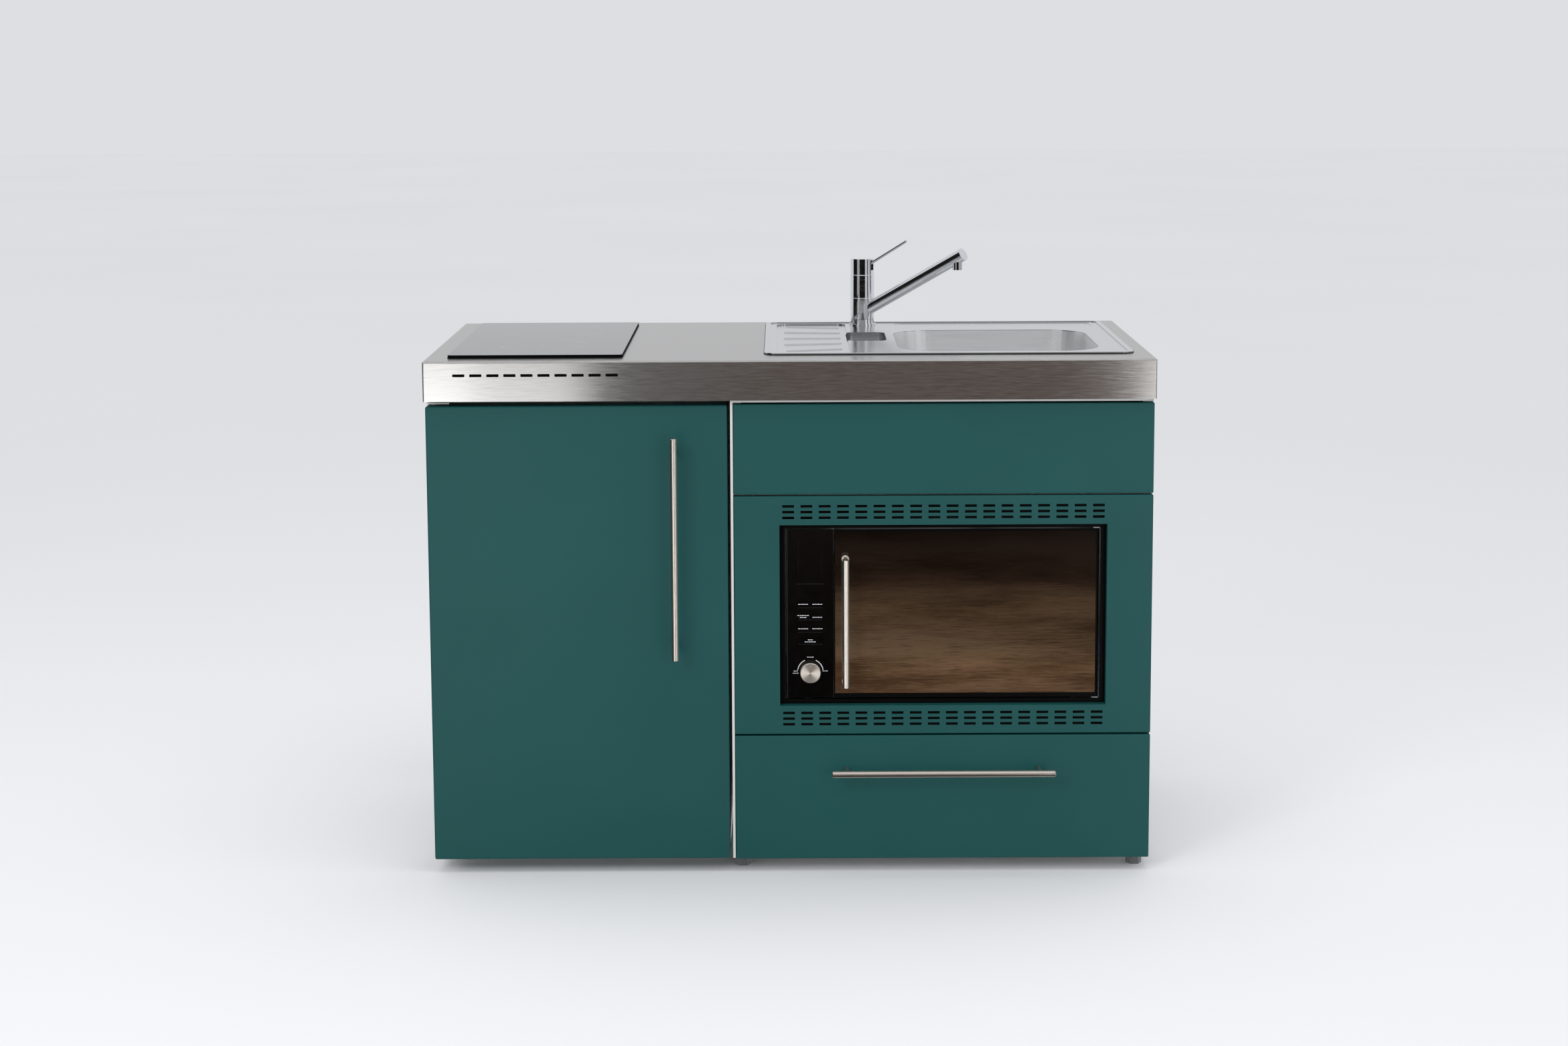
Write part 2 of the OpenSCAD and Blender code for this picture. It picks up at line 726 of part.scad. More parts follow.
// One drainer rib: a low ridge with round ends, turned about its right end
module drainer_rib(x, y, l, turn) {
    floor_z = deck_z - drainer_drop;
    intersection() {
        translate([x, y, floor_z + rib_rise - rib_r]) rotate([0, -90, turn]) {
            cylinder(r = rib_r, h = l);
            sphere(rib_r);
            translate([0, 0, l]) sphere(rib_r);
        }
        block(drainer_x, drainer_y, [floor_z - sink_t / 2, deck_z]);
    }
}

module sink() color("lightsteelblue") placed() {
    rim_z = worktop_z + rim_h;
    rim_r = 3;
    drainer_r = 20;
    pocket_r = 15;
    tap_hole_r = 17.5;
    step_in = 24;
    step_drop = 0.6;
    step_yy = [bowl_y[1] + (sink_yy[1] - bowl_y[1]) / 3, sink_yy[1] - step_in];
    pan_z = deck_z - drainer_drop;
    pocket_z = deck_z - pocket_drop;
    deck_x = grow(sink_x, -rim_w);
    deck_y = grow(sink_yy, -rim_w);
    difference() {
        union() {
            intersection() {
                along_z([worktop_z, rim_z]) rounded(sink_x, sink_yy, sink_corner_r);
                along_x(sink_x) rounded(sink_yy, [worktop_z - rim_r, rim_z], rim_r, [0, 0, 1, 1]);
                along_y(sink_yy) rounded(sink_x, [worktop_z - rim_r, rim_z], rim_r, [0, 0, 1, 1]);
            }
            bowl_form(-sink_t, bowl_floor_z - sink_t, deck_z);
            along_z([pan_z - sink_t, deck_z])
                rounded(grow(drainer_x, sink_t), grow(drainer_y, sink_t), drainer_r + sink_t);
            along_z([pocket_z - sink_t, deck_z])
                rounded(grow(pocket_x, sink_t), grow(pocket_y, sink_t), pocket_r + sink_t);
        }
        along_z([deck_z, rim_z + cut]) rounded(deck_x, deck_y, sink_corner_r - rim_w);
        bowl_form(0, bowl_floor_z, deck_z + cut);
        along_z([pan_z, deck_z + cut]) rounded(drainer_x, drainer_y, drainer_r);
        along_z([pocket_z, deck_z + cut]) rounded(pocket_x, pocket_y, pocket_r);
        rod_z(bowl_cx, drain_y, [bowl_floor_z - sink_t - cut, bowl_floor_z + cut], drain_r);
        rod_z(tap_cx, tap_cy, [worktop_z - cut, deck_z + cut], tap_hole_r);
        // Shallow step in the rear deck
        along_z([deck_z - step_drop, deck_z + cut])
            rounded([pocket_x[1] + step_in, sink_x[1] - step_in], step_yy, (step_yy[1] - step_yy[0]) / 6);
    }
    // The ribs fan out towards the drainer's left end
    rib_in = 35;
    rib_l = 92;
    rib_end = 16;
    rib_fan = 0.09;
    rib_spread = 0.88;
    middle_y = (pocket_y[0] + pocket_y[1]) / 2;
    rib_pitch = (drainer_y[1] - drainer_y[0] - 2 * rib_in) / (drainer_ribs - 1);
    for (i = [0:drainer_ribs - 1]) {
        off = drainer_y[0] + rib_in + i * rib_pitch - middle_y;
        drainer_rib(drainer_x[1] - rib_end, middle_y + off * rib_spread, rib_l, -off * rib_fan);
    }
}

module sink_waste() color("silver") placed() {
    flange_r = 56;
    flange_t = 1.5;
    nut_r = 53;
    nut_h = 12;
    wall = 2;
    top_z = bowl_floor_z + flange_t;
    under_z = bowl_floor_z - sink_t;
    cup_z = under_z - waste_drop;
    difference() {
        union() {
            rod_z(bowl_cx, drain_y, [bowl_floor_z, top_z], flange_r);
            rod_z(bowl_cx, drain_y, [cup_z, top_z], waste_r);
            rod_z(bowl_cx, drain_y, [under_z - nut_h, under_z], nut_r);
            rod_y(bowl_cx, [drain_y, drain_y + waste_outlet], pipe_z, pipe_r);
        }
        rod_z(bowl_cx, drain_y, [under_z - strainer_seat, top_z + cut], waste_r - wall);
        rod_z(bowl_cx, drain_y, [cup_z + wall, top_z], waste_r - 3 * wall);
        rod_y(bowl_cx, [drain_y, drain_y + waste_outlet + cut], pipe_z, pipe_r - pipe_wall);
    }
}

module waste_strainer() color("silver") placed() {
    seat_z = bowl_floor_z - sink_t - strainer_seat + seat_gap;
    basket_r = waste_r - 2.7;
    plate = 1.4;
    stem = 14;
    stem_rr = 4;
    grip_r = 6;
    hole_r = 2.6;
    rings = [18, 30];
    holes = 12;
    difference() {
        union() {
            rod_z(bowl_cx, drain_y, [seat_z, seat_z + plate], basket_r);
            rod_z(bowl_cx, drain_y, [seat_z, seat_z + stem], stem_rr);
            translate([bowl_cx, drain_y, seat_z + stem + 1]) sphere(grip_r);
        }
        for (ring = [0:1], i = [0:holes - 1]) {
            a = (i + ring / 2) * 360 / holes;
            rod_z(bowl_cx + rings[ring] * cos(a), drain_y + rings[ring] * sin(a),
                [seat_z - cut, seat_z + plate + cut], hole_r);
        }
    }
}

// The waste pipe's run as a solid of one radius: back, down, round the trap, up and out
module pipe_run(r) {
    y0 = drain_y + waste_outlet;
    leg_z = pipe_z - bend_r - trap_leg;
    up_z = pipe_out_z - bend_r;
    x1 = bowl_cx + trap_w;
    rod_y(bowl_cx, [y0 - (r < pipe_r ? cut : 0), trap_y - bend_r], pipe_z, r);
    translate([bowl_cx, trap_y - bend_r, pipe_z - bend_r]) rotate([90, 0, 90])
        rotate_extrude(angle = 90) translate([bend_r, 0]) circle(r);
    rod_z(bowl_cx, trap_y, [leg_z, pipe_z - bend_r], r);
    translate([bowl_cx + trap_w / 2, trap_y, leg_z]) rotate([-90, 0, 0])
        rotate_extrude(angle = 180) translate([trap_w / 2, 0]) circle(r);
    rod_z(x1, trap_y, [leg_z, up_z], r);
    translate([x1, trap_y + bend_r, up_z]) rotate([90, 0, -90])
        rotate_extrude(angle = 90) translate([bend_r, 0]) circle(r);
    rod_y(x1, [trap_y + bend_r, unit_d - pipe_end + (r < pipe_r ? cut : 0)], pipe_out_z, r);
}

module waste_pipes() color("white") placed() {
    nut_l = 16;
    nut_r = pipe_r + 5;
    y0 = drain_y + waste_outlet;
    leg_z = pipe_z - bend_r - trap_leg;
    difference() {
        union() {
            pipe_run(pipe_r);
            rod_y(bowl_cx, [y0, y0 + nut_l], pipe_z, nut_r);
            rod_z(bowl_cx, trap_y, [leg_z, leg_z + nut_l], nut_r);
        }
        pipe_run(pipe_r - pipe_wall);
    }
}

// ---- Tap ----

// Places a shape at the tap's base, turned to the spout's direction
module at_tap() {
    translate([tap_cx, tap_cy, deck_z]) rotate([0, 0, -spout_turn]) children();
}

module tap_body() color("lightgray") placed() at_tap() {
    shank_l = 48;
    shank_r = 16;
    nut_h = 12;
    nut_r = 27;
    base_r = tap_r + 2;
    base_h = 3;
    stem_h = 3.8;
    groove_z = mid_z[1] - 8;
    groove_h = 1.2;
    groove_depth = 0.8;
    cylinder(r = base_r, h = base_h);
    cylinder(r = tap_r, h = spout_z[0] - seat_gap);
    cylinder(r = column_r, h = mid_z[0] + cut);
    difference() {
        translate([0, 0, mid_z[0]]) cylinder(r = tap_r, h = mid_z[1] - mid_z[0]);
        translate([0, 0, groove_z])
            rotate_extrude() translate([tap_r - groove_depth, 0]) square([2, groove_h]);
    }
    translate([0, 0, mid_z[1]]) cylinder(r = stem_r, h = stem_h);
    translate([0, 0, -shank_l]) cylinder(r = shank_r, h = shank_l + cut);
    translate([0, 0, -deck_h - nut_h]) cylinder(r = nut_r, h = nut_h, $fn = 6);
}

module spout() color("lightgray") placed() at_tap() {
    arm_l = spout_reach / cos(spout_rise);
    outlet_in = 13;
    outlet_r = 9;
    outlet_h = 22;
    outlet_bore = 7.4;
    tip = [spout_reach - outlet_in * cos(spout_rise), 0, spout_end_h - outlet_in * sin(spout_rise)];
    difference() {
        union() {
            translate([0, 0, spout_z[0]]) cylinder(r = tap_r, h = spout_z[1] - spout_z[0]);
            translate([0, 0, spout_z0]) rotate([0, 90 - spout_rise, 0]) cylinder(r = spout_r, h = arm_l);
            translate([tip.x, 0, tip.z - outlet_h]) cylinder(r = outlet_r, h = outlet_h);
        }
        translate([0, 0, spout_z[0] - cut]) cylinder(r = column_r + pin_fit, h = spout_z[1]);
        translate([tip.x, 0, tip.z - outlet_h - cut]) cylinder(r = outlet_bore, h = outlet_h / 2 + cut);
    }
}

module tap_cap() color("lightgray") placed() at_tap() {
    floor_t = 4;
    roof_t = 3.5;
    cap_r = tap_r - 0.4;
    room_r = tap_r - 5;
    floor_z = cap_z[0] + floor_t;
    slot_w = 7.6;
    slot_low = lever_z + room_r * tan(lever_rise - lever_drop) - 4.6;
    slot_high = lever_z + tap_r * tan(lever_rise) + 3.9;
    difference() {
        translate([0, 0, cap_z[0]]) cylinder(r = cap_r, h = cap_z[1] - cap_z[0]);
        translate([0, 0, floor_z]) cylinder(r = room_r, h = cap_z[1] - roof_t - floor_z);
        translate([0, 0, cap_z[0] - cut]) cylinder(r = stem_r + pin_fit, h = floor_t + 2 * cut);
        translate([room_r - 3, -slot_w / 2, slot_low]) cube([tap_r, slot_w, slot_high - slot_low]);
    }
    // The cross pin that the lever tilts on
    translate([0, room_r + 1, lever_z]) rotate([90, 0, 0]) cylinder(r = lever_pivot_r, h = 2 * room_r + 2);
}

module lever_pin() color("lightgray") placed() at_tap() {
    hub_w = 7;
    root_r = 3;
    tip_r = 2.5;
    rod_l = lever_reach / cos(lever_rise);
    difference() {
        translate([0, 0, lever_z]) {
            translate([0, hub_w / 2, 0]) rotate([90, 0, 0]) cylinder(r = lever_hub_r, h = hub_w);
            rotate([0, 90 - lever_rise, 0]) cylinder(r1 = root_r, r2 = tip_r, h = rod_l);
        }
        translate([0, hub_w, lever_z])
            rotate([90, 0, 0]) cylinder(r = lever_pivot_r + pin_fit, h = 2 * hub_w);
    }
}

// ---- Refrigerator ----

// The insulated room's side outline, larger by a margin, open to the front
module room_outline(margin, front) {
    polygon([
        [front, room_z[0] - margin],
        [step_y + margin, room_z[0] - margin],
        [step_y + margin, step_z - margin],
        [room_y[1] + margin, step_z - margin],
        [room_y[1] + margin, room_z[1] + margin],
        [front, room_z[1] + margin]
    ]);
}

// The foam space's side outline, inside the shell and above the compressor bay
module foam_outline(front) {
    polygon([
        [front, body_z[0] + shell_t],
        [bay_y - shell_t, body_z[0] + shell_t],
        [bay_y - shell_t, bay_z + shell_t],
        [body_y[1] - shell_t, bay_z + shell_t],
        [body_y[1] - shell_t, body_z[1] - shell_t],
        [front, body_z[1] - shell_t]
    ]);
}

module fridge_shell() color("white") placed() {
    clip_x = [body_x[1] - 36, body_x[1] - 22];
    clip_y = 40;
    clip_t = 2.6;
    base_t = 2;
    drain_gap = 25;
    difference() {
        block(body_x, body_y, body_z);
        along_x(grow(body_x, -shell_t)) foam_outline(body_y[0] - cut);
        block(grow(body_x, -shell_t), [bay_y, body_y[1] + cut], [body_z[0] + base_t, bay_z]);
        block(grow(body_x, -shell_t), [bay_y, bay_y + drain_gap],
            grow([body_z[0], body_z[0] + base_t], cut));
    }
    // Clip that fixes the body to the worktop's apron
    block(clip_x, [clip_y, body_y[0]], [body_z[1] - clip_t, body_z[1]]);
}

module fridge_insulation() color("khaki") placed() {
    difference() {
        along_x(grow(body_x, -shell_t)) foam_outline(body_y[0] + liner_t);
        along_x(grow(room_x, liner_t)) room_outline(liner_t, body_y[0] - cut);
    }
}

module fridge_liner() color("ghostwhite") placed() {
    difference() {
        union() {
            along_x(grow(room_x, liner_t)) room_outline(liner_t, body_y[0]);
            block(grow(body_x, -shell_t), [body_y[0], body_y[0] + liner_t], grow(body_z, -shell_t));
        }
        along_x(room_x) room_outline(0, body_y[0] - cut);
    }
    // Ledges that the shelves and the icebox slide in on
    for (z = concat(shelf_levels, [icebox_z[0]])) {
        y = z == icebox_z[0] ? icebox_y : shelf_y;
        block([room_x[0], room_x[0] + ledge_w], y, [z - ledge_h, z]);
        block([room_x[1] - ledge_w, room_x[1]], y, [z - ledge_h, z]);
    }
}

module fridge_shelves() color("lightcyan") placed() {
    shelf_t = 4;
    side_play = 2;
    for (z = shelf_levels) {
        block(grow(room_x, -side_play), shelf_y, [z, z + shelf_t]);
    }
}

module crisper() color("aliceblue") placed() {
    t = 2;
    crisper_h = 135;
    side_play = 10;
    back_play = 3;
    x = grow(room_x, -side_play);
    y = [shelf_y[0], step_y - back_play];
    z = [room_z[0], room_z[0] + crisper_h];
    difference() {
        block(x, y, z);
        block(grow(x, -t), grow(y, -t), [z[0] + t, z[1] + cut]);
    }
}

module icebox() color("silver") placed() {
    flap_room = 14;
    roof_y = icebox_y[0] + flap_room;
    inside_x = grow(icebox_x, -icebox_t);
    difference() {
        block(icebox_x, icebox_y, icebox_z);
        block(inside_x, [icebox_y[0] - cut, icebox_y[1] - icebox_t], grow(icebox_z, -icebox_t));
        block(inside_x, [icebox_y[0] - cut, roof_y], [icebox_z[1] - icebox_t - cut, icebox_z[1] + cut]);
        rod_x(grow(icebox_x, cut), flap_y, flap_z, flap_pin_r + pin_fit);
    }
}

module icebox_flap() color("white") placed() {
    play = 1;
    grip_w = 113;
    grip_h = 6;
    grip_out = 8;
    x = grow(icebox_x, -icebox_t - play);
    low = icebox_z[0] + icebox_t + play;
    block(x, [icebox_y[0], icebox_y[0] + flap_t], [low, flap_z]);
    rod_x(x, flap_y, flap_z, flap_t / 2);
    rod_x(grow(icebox_x, -seat_gap), flap_y, flap_z, flap_pin_r);
    block(about((x[0] + x[1]) / 2, grip_w), [icebox_y[0] - grip_out, icebox_y[0] + cut],
        [low + grip_h, low + 2 * grip_h]);
}

module thermostat_housing() color("whitesmoke") placed() {
    w = 80;
    h = 56;
    corner = 10;
    x = [room_x[1] - thermostat_d, room_x[1]];
    difference() {
        along_x(x) rounded(about(thermostat_y, w), about(thermostat_z, h), corner);
        rod_x([x[0] - cut, x[0] + dial_shaft_l + cut], thermostat_y, thermostat_z, dial_shaft_r + pin_fit);
    }
}

module thermostat_dial() color("lightgray") placed() {
    dial_r = 15;
    dial_t = 10;
    grip_w = 4;
    grip_t = 3;
    x0 = room_x[1] - thermostat_d - seat_gap;
    rod_x([x0 - dial_t, x0], thermostat_y, thermostat_z, dial_r);
    rod_x([x0 - cut, x0 + dial_shaft_l], thermostat_y, thermostat_z, dial_shaft_r);
    block([x0 - dial_t - grip_t, x0 - dial_t + cut], about(thermostat_y, grip_w),
        [thermostat_z - dial_r + grip_t, thermostat_z + dial_r - cut]);
}

// A round steel can with a domed lid, on four rubber grommets, with its starter box
module compressor() color("dimgray") placed() {
    can_r = 62;
    can_h = 84;
    dome_r = 22;
    weld_w = 4;
    lid_h = 10;
    lid_r = 18;
    grommet_r = 9;
    grommet_h = 14;
    grommet_x = 48;
    grommet_y = 38;
    starter = [30, 48, 46];
    cx = (body_x[0] + body_x[1]) / 2;
    cy = body_y[1] - bay_d / 2;
    base_z = body_z[0] + 2;
    can_z = base_z + grommet_h - 2;
    top_r = can_r - dome_r;
    translate([cx, cy, can_z]) rotate_extrude() {
        square([can_r, can_h - dome_r]);
        square([can_r + weld_w, weld_w]);
        square([top_r, can_h]);
        intersection() {
            translate([top_r, can_h - dome_r]) circle(dome_r);
            square([can_r, can_h]);
        }
    }
    translate([cx, cy, can_z + can_h]) cylinder(r1 = top_r, r2 = lid_r, h = lid_h);
    for (dx = [-grommet_x, grommet_x], dy = [-grommet_y, grommet_y]) {
        rod_z(cx + dx, cy + dy, [base_z, base_z + grommet_h], grommet_r);
    }
    block([cx + can_r - weld_w, cx + can_r + starter.x], about(cy, starter.y),
        [can_z + 2 * weld_w, can_z + 2 * weld_w + starter.z]);
}

module condenser() color("black") placed() {
    tube_r = 2.4;
    wire_r = 1.2;
    runs = 9;
    wires = 11;
    side_in = 40;
    top_in = 60;
    stand_out = 26;
    clip_w = 8;
    clip_in = 5;
    wire_in = 20;
    wire_past = 12;
    x = grow(body_x, -side_in);
    y = body_y[1] + stand_out;
    z0 = bay_z + side_in;
    pitch = (body_z[1] - top_in - z0) / (runs - 1);
    for (i = [0:runs - 1]) {
        rod_x(x, y, z0 + i * pitch, tube_r);
    }
    for (i = [0:runs - 2]) {
        side = i % 2;
        translate([x[1 - side], y, z0 + (i + 0.5) * pitch]) rotate([90, side == 0 ? 90 : -90, 0])
            rotate_extrude(angle = 180) translate([pitch / 2, 0]) circle(tube_r);
    }
    for (i = [0:wires - 1]) {
        wx = x[0] + wire_in + i * (x[1] - x[0] - 2 * wire_in) / (wires - 1);
        rod_z(wx, y - tube_r - wire_r / 2, [z0 - wire_past, z0 + (runs - 1) * pitch + wire_past], wire_r);
    }
    // Standoff clips to the back of the body
    for (cx = [x[0] + clip_in, x[1] - clip_in - clip_w], run = [1, runs - 2]) {
        z = z0 + run * pitch;
        block([cx, cx + clip_w], [body_y[1], y], about(z, clip_w));
    }
}

module fridge_hinges() color("white") placed() {
    plate = 2.5;
    top_gap = 1.5;
    arm_w = 37;
    arm_front = 9;
    leg_w = 11;
    leg_t = 2;
    leg_l = 45;
    low_t = 3;
    low_back = 18;
    top_z = door_zz[1] + top_gap;
    low_z = body_z[0] - low_t;
    x = [body_x[0], body_x[0] + arm_w];
    block(x, [hinge_y - arm_front, body_y[0]], [top_z, top_z + plate]);
    block([body_x[0], body_x[0] + leg_w], [body_y[0] - leg_t, body_y[0]], [top_z - leg_l, top_z + plate]);
    rod_z(hinge_x, hinge_y, [door_zz[1] - hinge_pin_l, top_z + cut], hinge_pin_r);
    block(x, [hinge_y - arm_front, body_y[0] + low_back], [low_z, body_z[0]]);
    rod_z(hinge_x, hinge_y, [body_z[0] - cut, door_zz[0] + hinge_pin_l], hinge_pin_r);
}

// The two bores that the door hangs on
module door_bores(r) {
    bore_l = hinge_pin_l + cut;
    rod_z(hinge_x, hinge_y, [door_zz[1] - bore_l, door_zz[1] + cut], r);
    rod_z(hinge_x, hinge_y, [door_zz[0] - cut, door_zz[0] + bore_l], r);
}

module fridge_door_panel() color("darkslategray") placed() {
    y = [door_y[0], door_y[1] - 2];
    difference() {
        front_block(door_x, y, door_zz, door_r + shell_t, edge_r + shell_t);
        front_block(grow(door_x, -shell_t), [y[0] + shell_t, y[1] + cut], grow(door_zz, -shell_t),
            door_r, edge_r);
        door_bores(hinge_pin_r + pin_fit);
    }
}

module fridge_door_liner() color("ghostwhite") placed() {
    rib_out = 25;
    rib_w = 10;
    rib_gap = 1;
    rib = [door_y[1] - cut, door_y[1] + rib_out];
    rib_z = [rack_levels[0] - rib_w, rack_levels[2] + 10 * rib_w];
    difference() {
        union() {
            front_block(grow(door_x, -shell_t), [door_y[0] + shell_t, door_y[1]], grow(door_zz, -shell_t),
                door_r, edge_r);
            block([rack_x[0] - rib_gap - rib_w, rack_x[0] - rib_gap], rib, rib_z);
            block([rack_x[1] + rib_gap, rack_x[1] + rib_gap + rib_w], rib, rib_z);
        }
        door_bores(hinge_pin_r + pin_fit);
    }
}

module door_gasket() color("gray") placed() {
    outer_r = 8;
    inner_r = 3;
    x = [hinge_x + 4, door_x[1] - 7];
    z = [body_z[0] + 12, door_zz[1] - 5];
    y = [door_y[1], door_y[1] + gasket_t];
    difference() {
        along_y(y) rounded(x, z, outer_r);
        along_y(grow(y, cut)) rounded(grow(x, -gasket_w), grow(z, -gasket_w), inner_r);
    }
}

module door_racks() color("aliceblue") placed() {
    t = 2;
    rack_r = 12;
    y = [door_y[1], door_y[1] + rack_d];
    for (i = [0:len(rack_levels) - 1]) {
        z = [rack_levels[i], rack_levels[i] + rack_heights[i]];
        difference() {
            along_z(z) rounded(rack_x, y, rack_r, [0, 0, 1, 1]);
            along_z([z[0] + t, z[1] + cut]) rounded(grow(rack_x, -t), grow(y, -t), rack_r - t, [0, 0, 1, 1]);
        }
    }
}

// ---- Handles ----

// A bar handle along its own Z, its posts reaching back along +Y to the front
module bar_handle(l, pitch, r, post, out) {
    chamfer = 1;
    translate([0, 0, -l / 2 + chamfer]) cylinder(r = r, h = l - 2 * chamfer);
    for (end = [-1, 1]) {
        translate([0, 0, end * (l / 2 - chamfer)]) rotate([end == 1 ? 0 : 180, 0, 0])
            cylinder(r1 = r, r2 = r - chamfer, h = chamfer);
        translate([0, out, end * pitch / 2]) rotate([90, 0, 0]) cylinder(r = post, h = out);
    }
}

module fridge_handle() color("silver") placed() {
    translate([door_x[1] - fridge_bar_in, front_setback - bar_out, door_zz[1] - fridge_bar_drop])
        bar_handle(bar_l, post_pitch, bar_r, post_r, bar_out);
}

module drawer_handle() color("silver") placed() {
    translate([opening_cx, front_setback - bar_out, (drawer_zz[0] + drawer_zz[1]) / 2 + drawer_bar_up])
        rotate([0, 90, 0]) bar_handle(bar_l, post_pitch, bar_r, post_r, bar_out);
}

module microwave_handle() color("silver") placed() {
    out = 32;
    neck_in = 4;
    neck_r = 4.2;
    rosette_r = 6.4;
    rosette_t = 1.6;
    glass_y = oven_y - glass_proud;
    translate([oven_bar_x, glass_y - out, oven_bar_z]) {
        bar_handle(oven_bar_l, oven_bar_l - 2 * neck_in, oven_bar_r, neck_r, out);
        for (end = [-1, 1]) {
            translate([0, out, end * (oven_bar_l / 2 - neck_in)])
                rotate([90, 0, 0]) cylinder(r = rosette_r, h = rosette_t);
        }
    }
}

// ---- Microwave oven ----

module microwave_trim() color("black") placed() {
    lap = 9;
    outer_r = 3;
    inner_r = 2;
    difference() {
        along_y([oven_y, oven_y + trim_t]) rounded(grow(opening_x, lap), grow(opening_z, lap), outer_r);
        along_y([oven_y - cut, oven_y + trim_t + cut])
            rounded(grow(oven_x, trim_gap), grow(oven_z, trim_gap), inner_r);
    }
}

module microwave_casing() color("gray") placed() {
    t = casing_t;
    ear_x = [oven_hinge_x - 6, oven_hinge_x + 4];
    ear_y = [oven_y + 0.5, casing_y[0]];
    ear_gap = 0.5;
    pin_l = 8;
    vents = 10;
    vent_size = [5, 60];
    vent_step = 12;
    foot_r = 10;
    foot_in = 30;
    difference() {
        block(casing_x, casing_y, casing_z);
        block(grow(casing_x, -t), [casing_y[0] - cut, casing_y[1] - t], grow(casing_z, -t));
        for (i = [0:vents - 1]) {
            x = fan_x + (i - (vents - 1) / 2) * vent_step - vent_size.x / 2;
            block([x, x + vent_size.x], grow([casing_y[1] - t, casing_y[1]], cut), about(fan_z, vent_size.y));
        }
    }
    // Ears with the pins that the door swings on
    block(ear_x, ear_y, [oven_z[1] + ear_gap, casing_z[1]]);
    rod_z(oven_hinge_x, oven_hinge_y, [oven_z[1] - pin_l, casing_z[1]], oven_pin_r);
    block(ear_x, ear_y, [casing_z[0], oven_z[0] - ear_gap]);
    rod_z(oven_hinge_x, oven_hinge_y, [casing_z[0], oven_z[0] + pin_l], oven_pin_r);
    for (x = grow(casing_x, -foot_in), y = grow(casing_y, -foot_in)) {
        rod_z(x, y, [oven_shelf_z, casing_z[0] + t], foot_r);
    }
}

module microwave_cavity() color("whitesmoke") placed() {
    t = cavity_t;
    shaft_hole_r = 6;
    difference() {
        union() {
            block(grow(cavity_x, t), [cavity_y[0], cavity_y[1] + t], grow(cavity_z, t));
            block(grow(casing_x, -casing_t), [cavity_y[0], cavity_y[0] + t], grow(casing_z, -casing_t));
        }
        block(cavity_x, [cavity_y[0] - cut, cavity_y[1]], cavity_z);
        rod_z(table_x, table_y, [cavity_z[0] - t - cut, cavity_z[0] + cut], shaft_hole_r);
    }
}

// A push button's cap, from the panel's outside to its retaining flange
module button_form(dx, row, size, margin, y) {
    block([knob_x + dx - size.x / 2 - margin, knob_x + dx + size.x / 2 + margin], y,
        [oven_z[0] + row - size.y / 2 - margin, oven_z[0] + row + size.y / 2 + margin]);
}

module push_button(dx, row, size) color("black") placed() {
    proud = 1;
    flange_t = 1;
    flange_w = 0.8;
    stem_r = 1.8;
    switch_h = 4;
    flange_y = [oven_y + panel_t + seat_gap, oven_y + panel_t + seat_gap + flange_t];
    button_form(dx, row, size, 0, [oven_y - proud, flange_y[1]]);
    button_form(dx, row, size, flange_w, flange_y);
    rod_y(knob_x + dx, [flange_y[0], board_y - switch_h], oven_z[0] + row, stem_r);
}

module button_left_top() push_button(-button_dx, button_rows[0], button_size);
module button_right_top() push_button(button_dx, button_rows[0], button_size);
module button_left_middle() push_button(-button_dx, button_rows[1], button_size);
module button_right_middle() push_button(button_dx, button_rows[1], button_size);
module button_left_bottom() push_button(-button_dx, button_rows[2], button_size);
module button_right_bottom() push_button(button_dx, button_rows[2], button_size);
module button_start() push_button(0, start_row, start_size);

module control_panel() color("black") placed() {
    wall = 2;
    panel_r = 1.5;
    display_drop = 0.8;
    display_r = 1;
    post_x = 7;
    post_z = [70, 8];
    y = [oven_y, casing_y[0]];
    difference() {
        along_z(oven_z) rounded(panel_x, y, panel_r, [1, 1, 0, 0]);
        block(grow(panel_x, -wall), [y[0] + panel_t, y[1] + cut], grow(oven_z, -wall));
        rod_y(knob_x, [y[0] - cut, y[0] + panel_t + cut], knob_z, knob_shaft_r + pin_fit);
        for (row = button_rows, dx = [-button_dx, button_dx]) {
            button_form(dx, row, button_size, button_gap, [y[0] - cut, y[0] + panel_t + cut]);
        }
        button_form(0, start_row, start_size, button_gap, [y[0] - cut, y[0] + panel_t + cut]);
        along_y([y[0] - cut, y[0] + display_drop]) rounded(display_x, display_z, display_r);
    }
    // Posts that the circuit board is screwed to
    for (x = grow(panel_x, -post_x), z = [oven_z[0] + post_z[0], oven_z[1] - post_z[1]]) {
        rod_y(x, [y[0] + panel_t / 2, board_y], z, 3);
    }
}

module microwave_knob() color("gray") placed() {
    gap = 0.6;
    chamfer = 1;
    shaft_end = 7;
    groove_w = 1.4;
    groove_depth = 0.8;
    groove_l = 7;
    front = oven_y - knob_proud;
    difference() {
        union() {
            rod_y(knob_x, [front + chamfer, oven_y - gap], knob_z, knob_r);
            translate([knob_x, front + chamfer, knob_z]) rotate([90, 0, 0])
                cylinder(r1 = knob_r, r2 = knob_r - chamfer, h = chamfer);
            rod_y(knob_x, [oven_y - gap - cut, board_y - shaft_end], knob_z, knob_shaft_r);
        }
        // Pointer groove on the knob's rim
        block(about(knob_x, groove_w), [front - cut, front + groove_depth],
            [knob_z + knob_r - groove_l, knob_z + knob_r + cut]);
    }
}

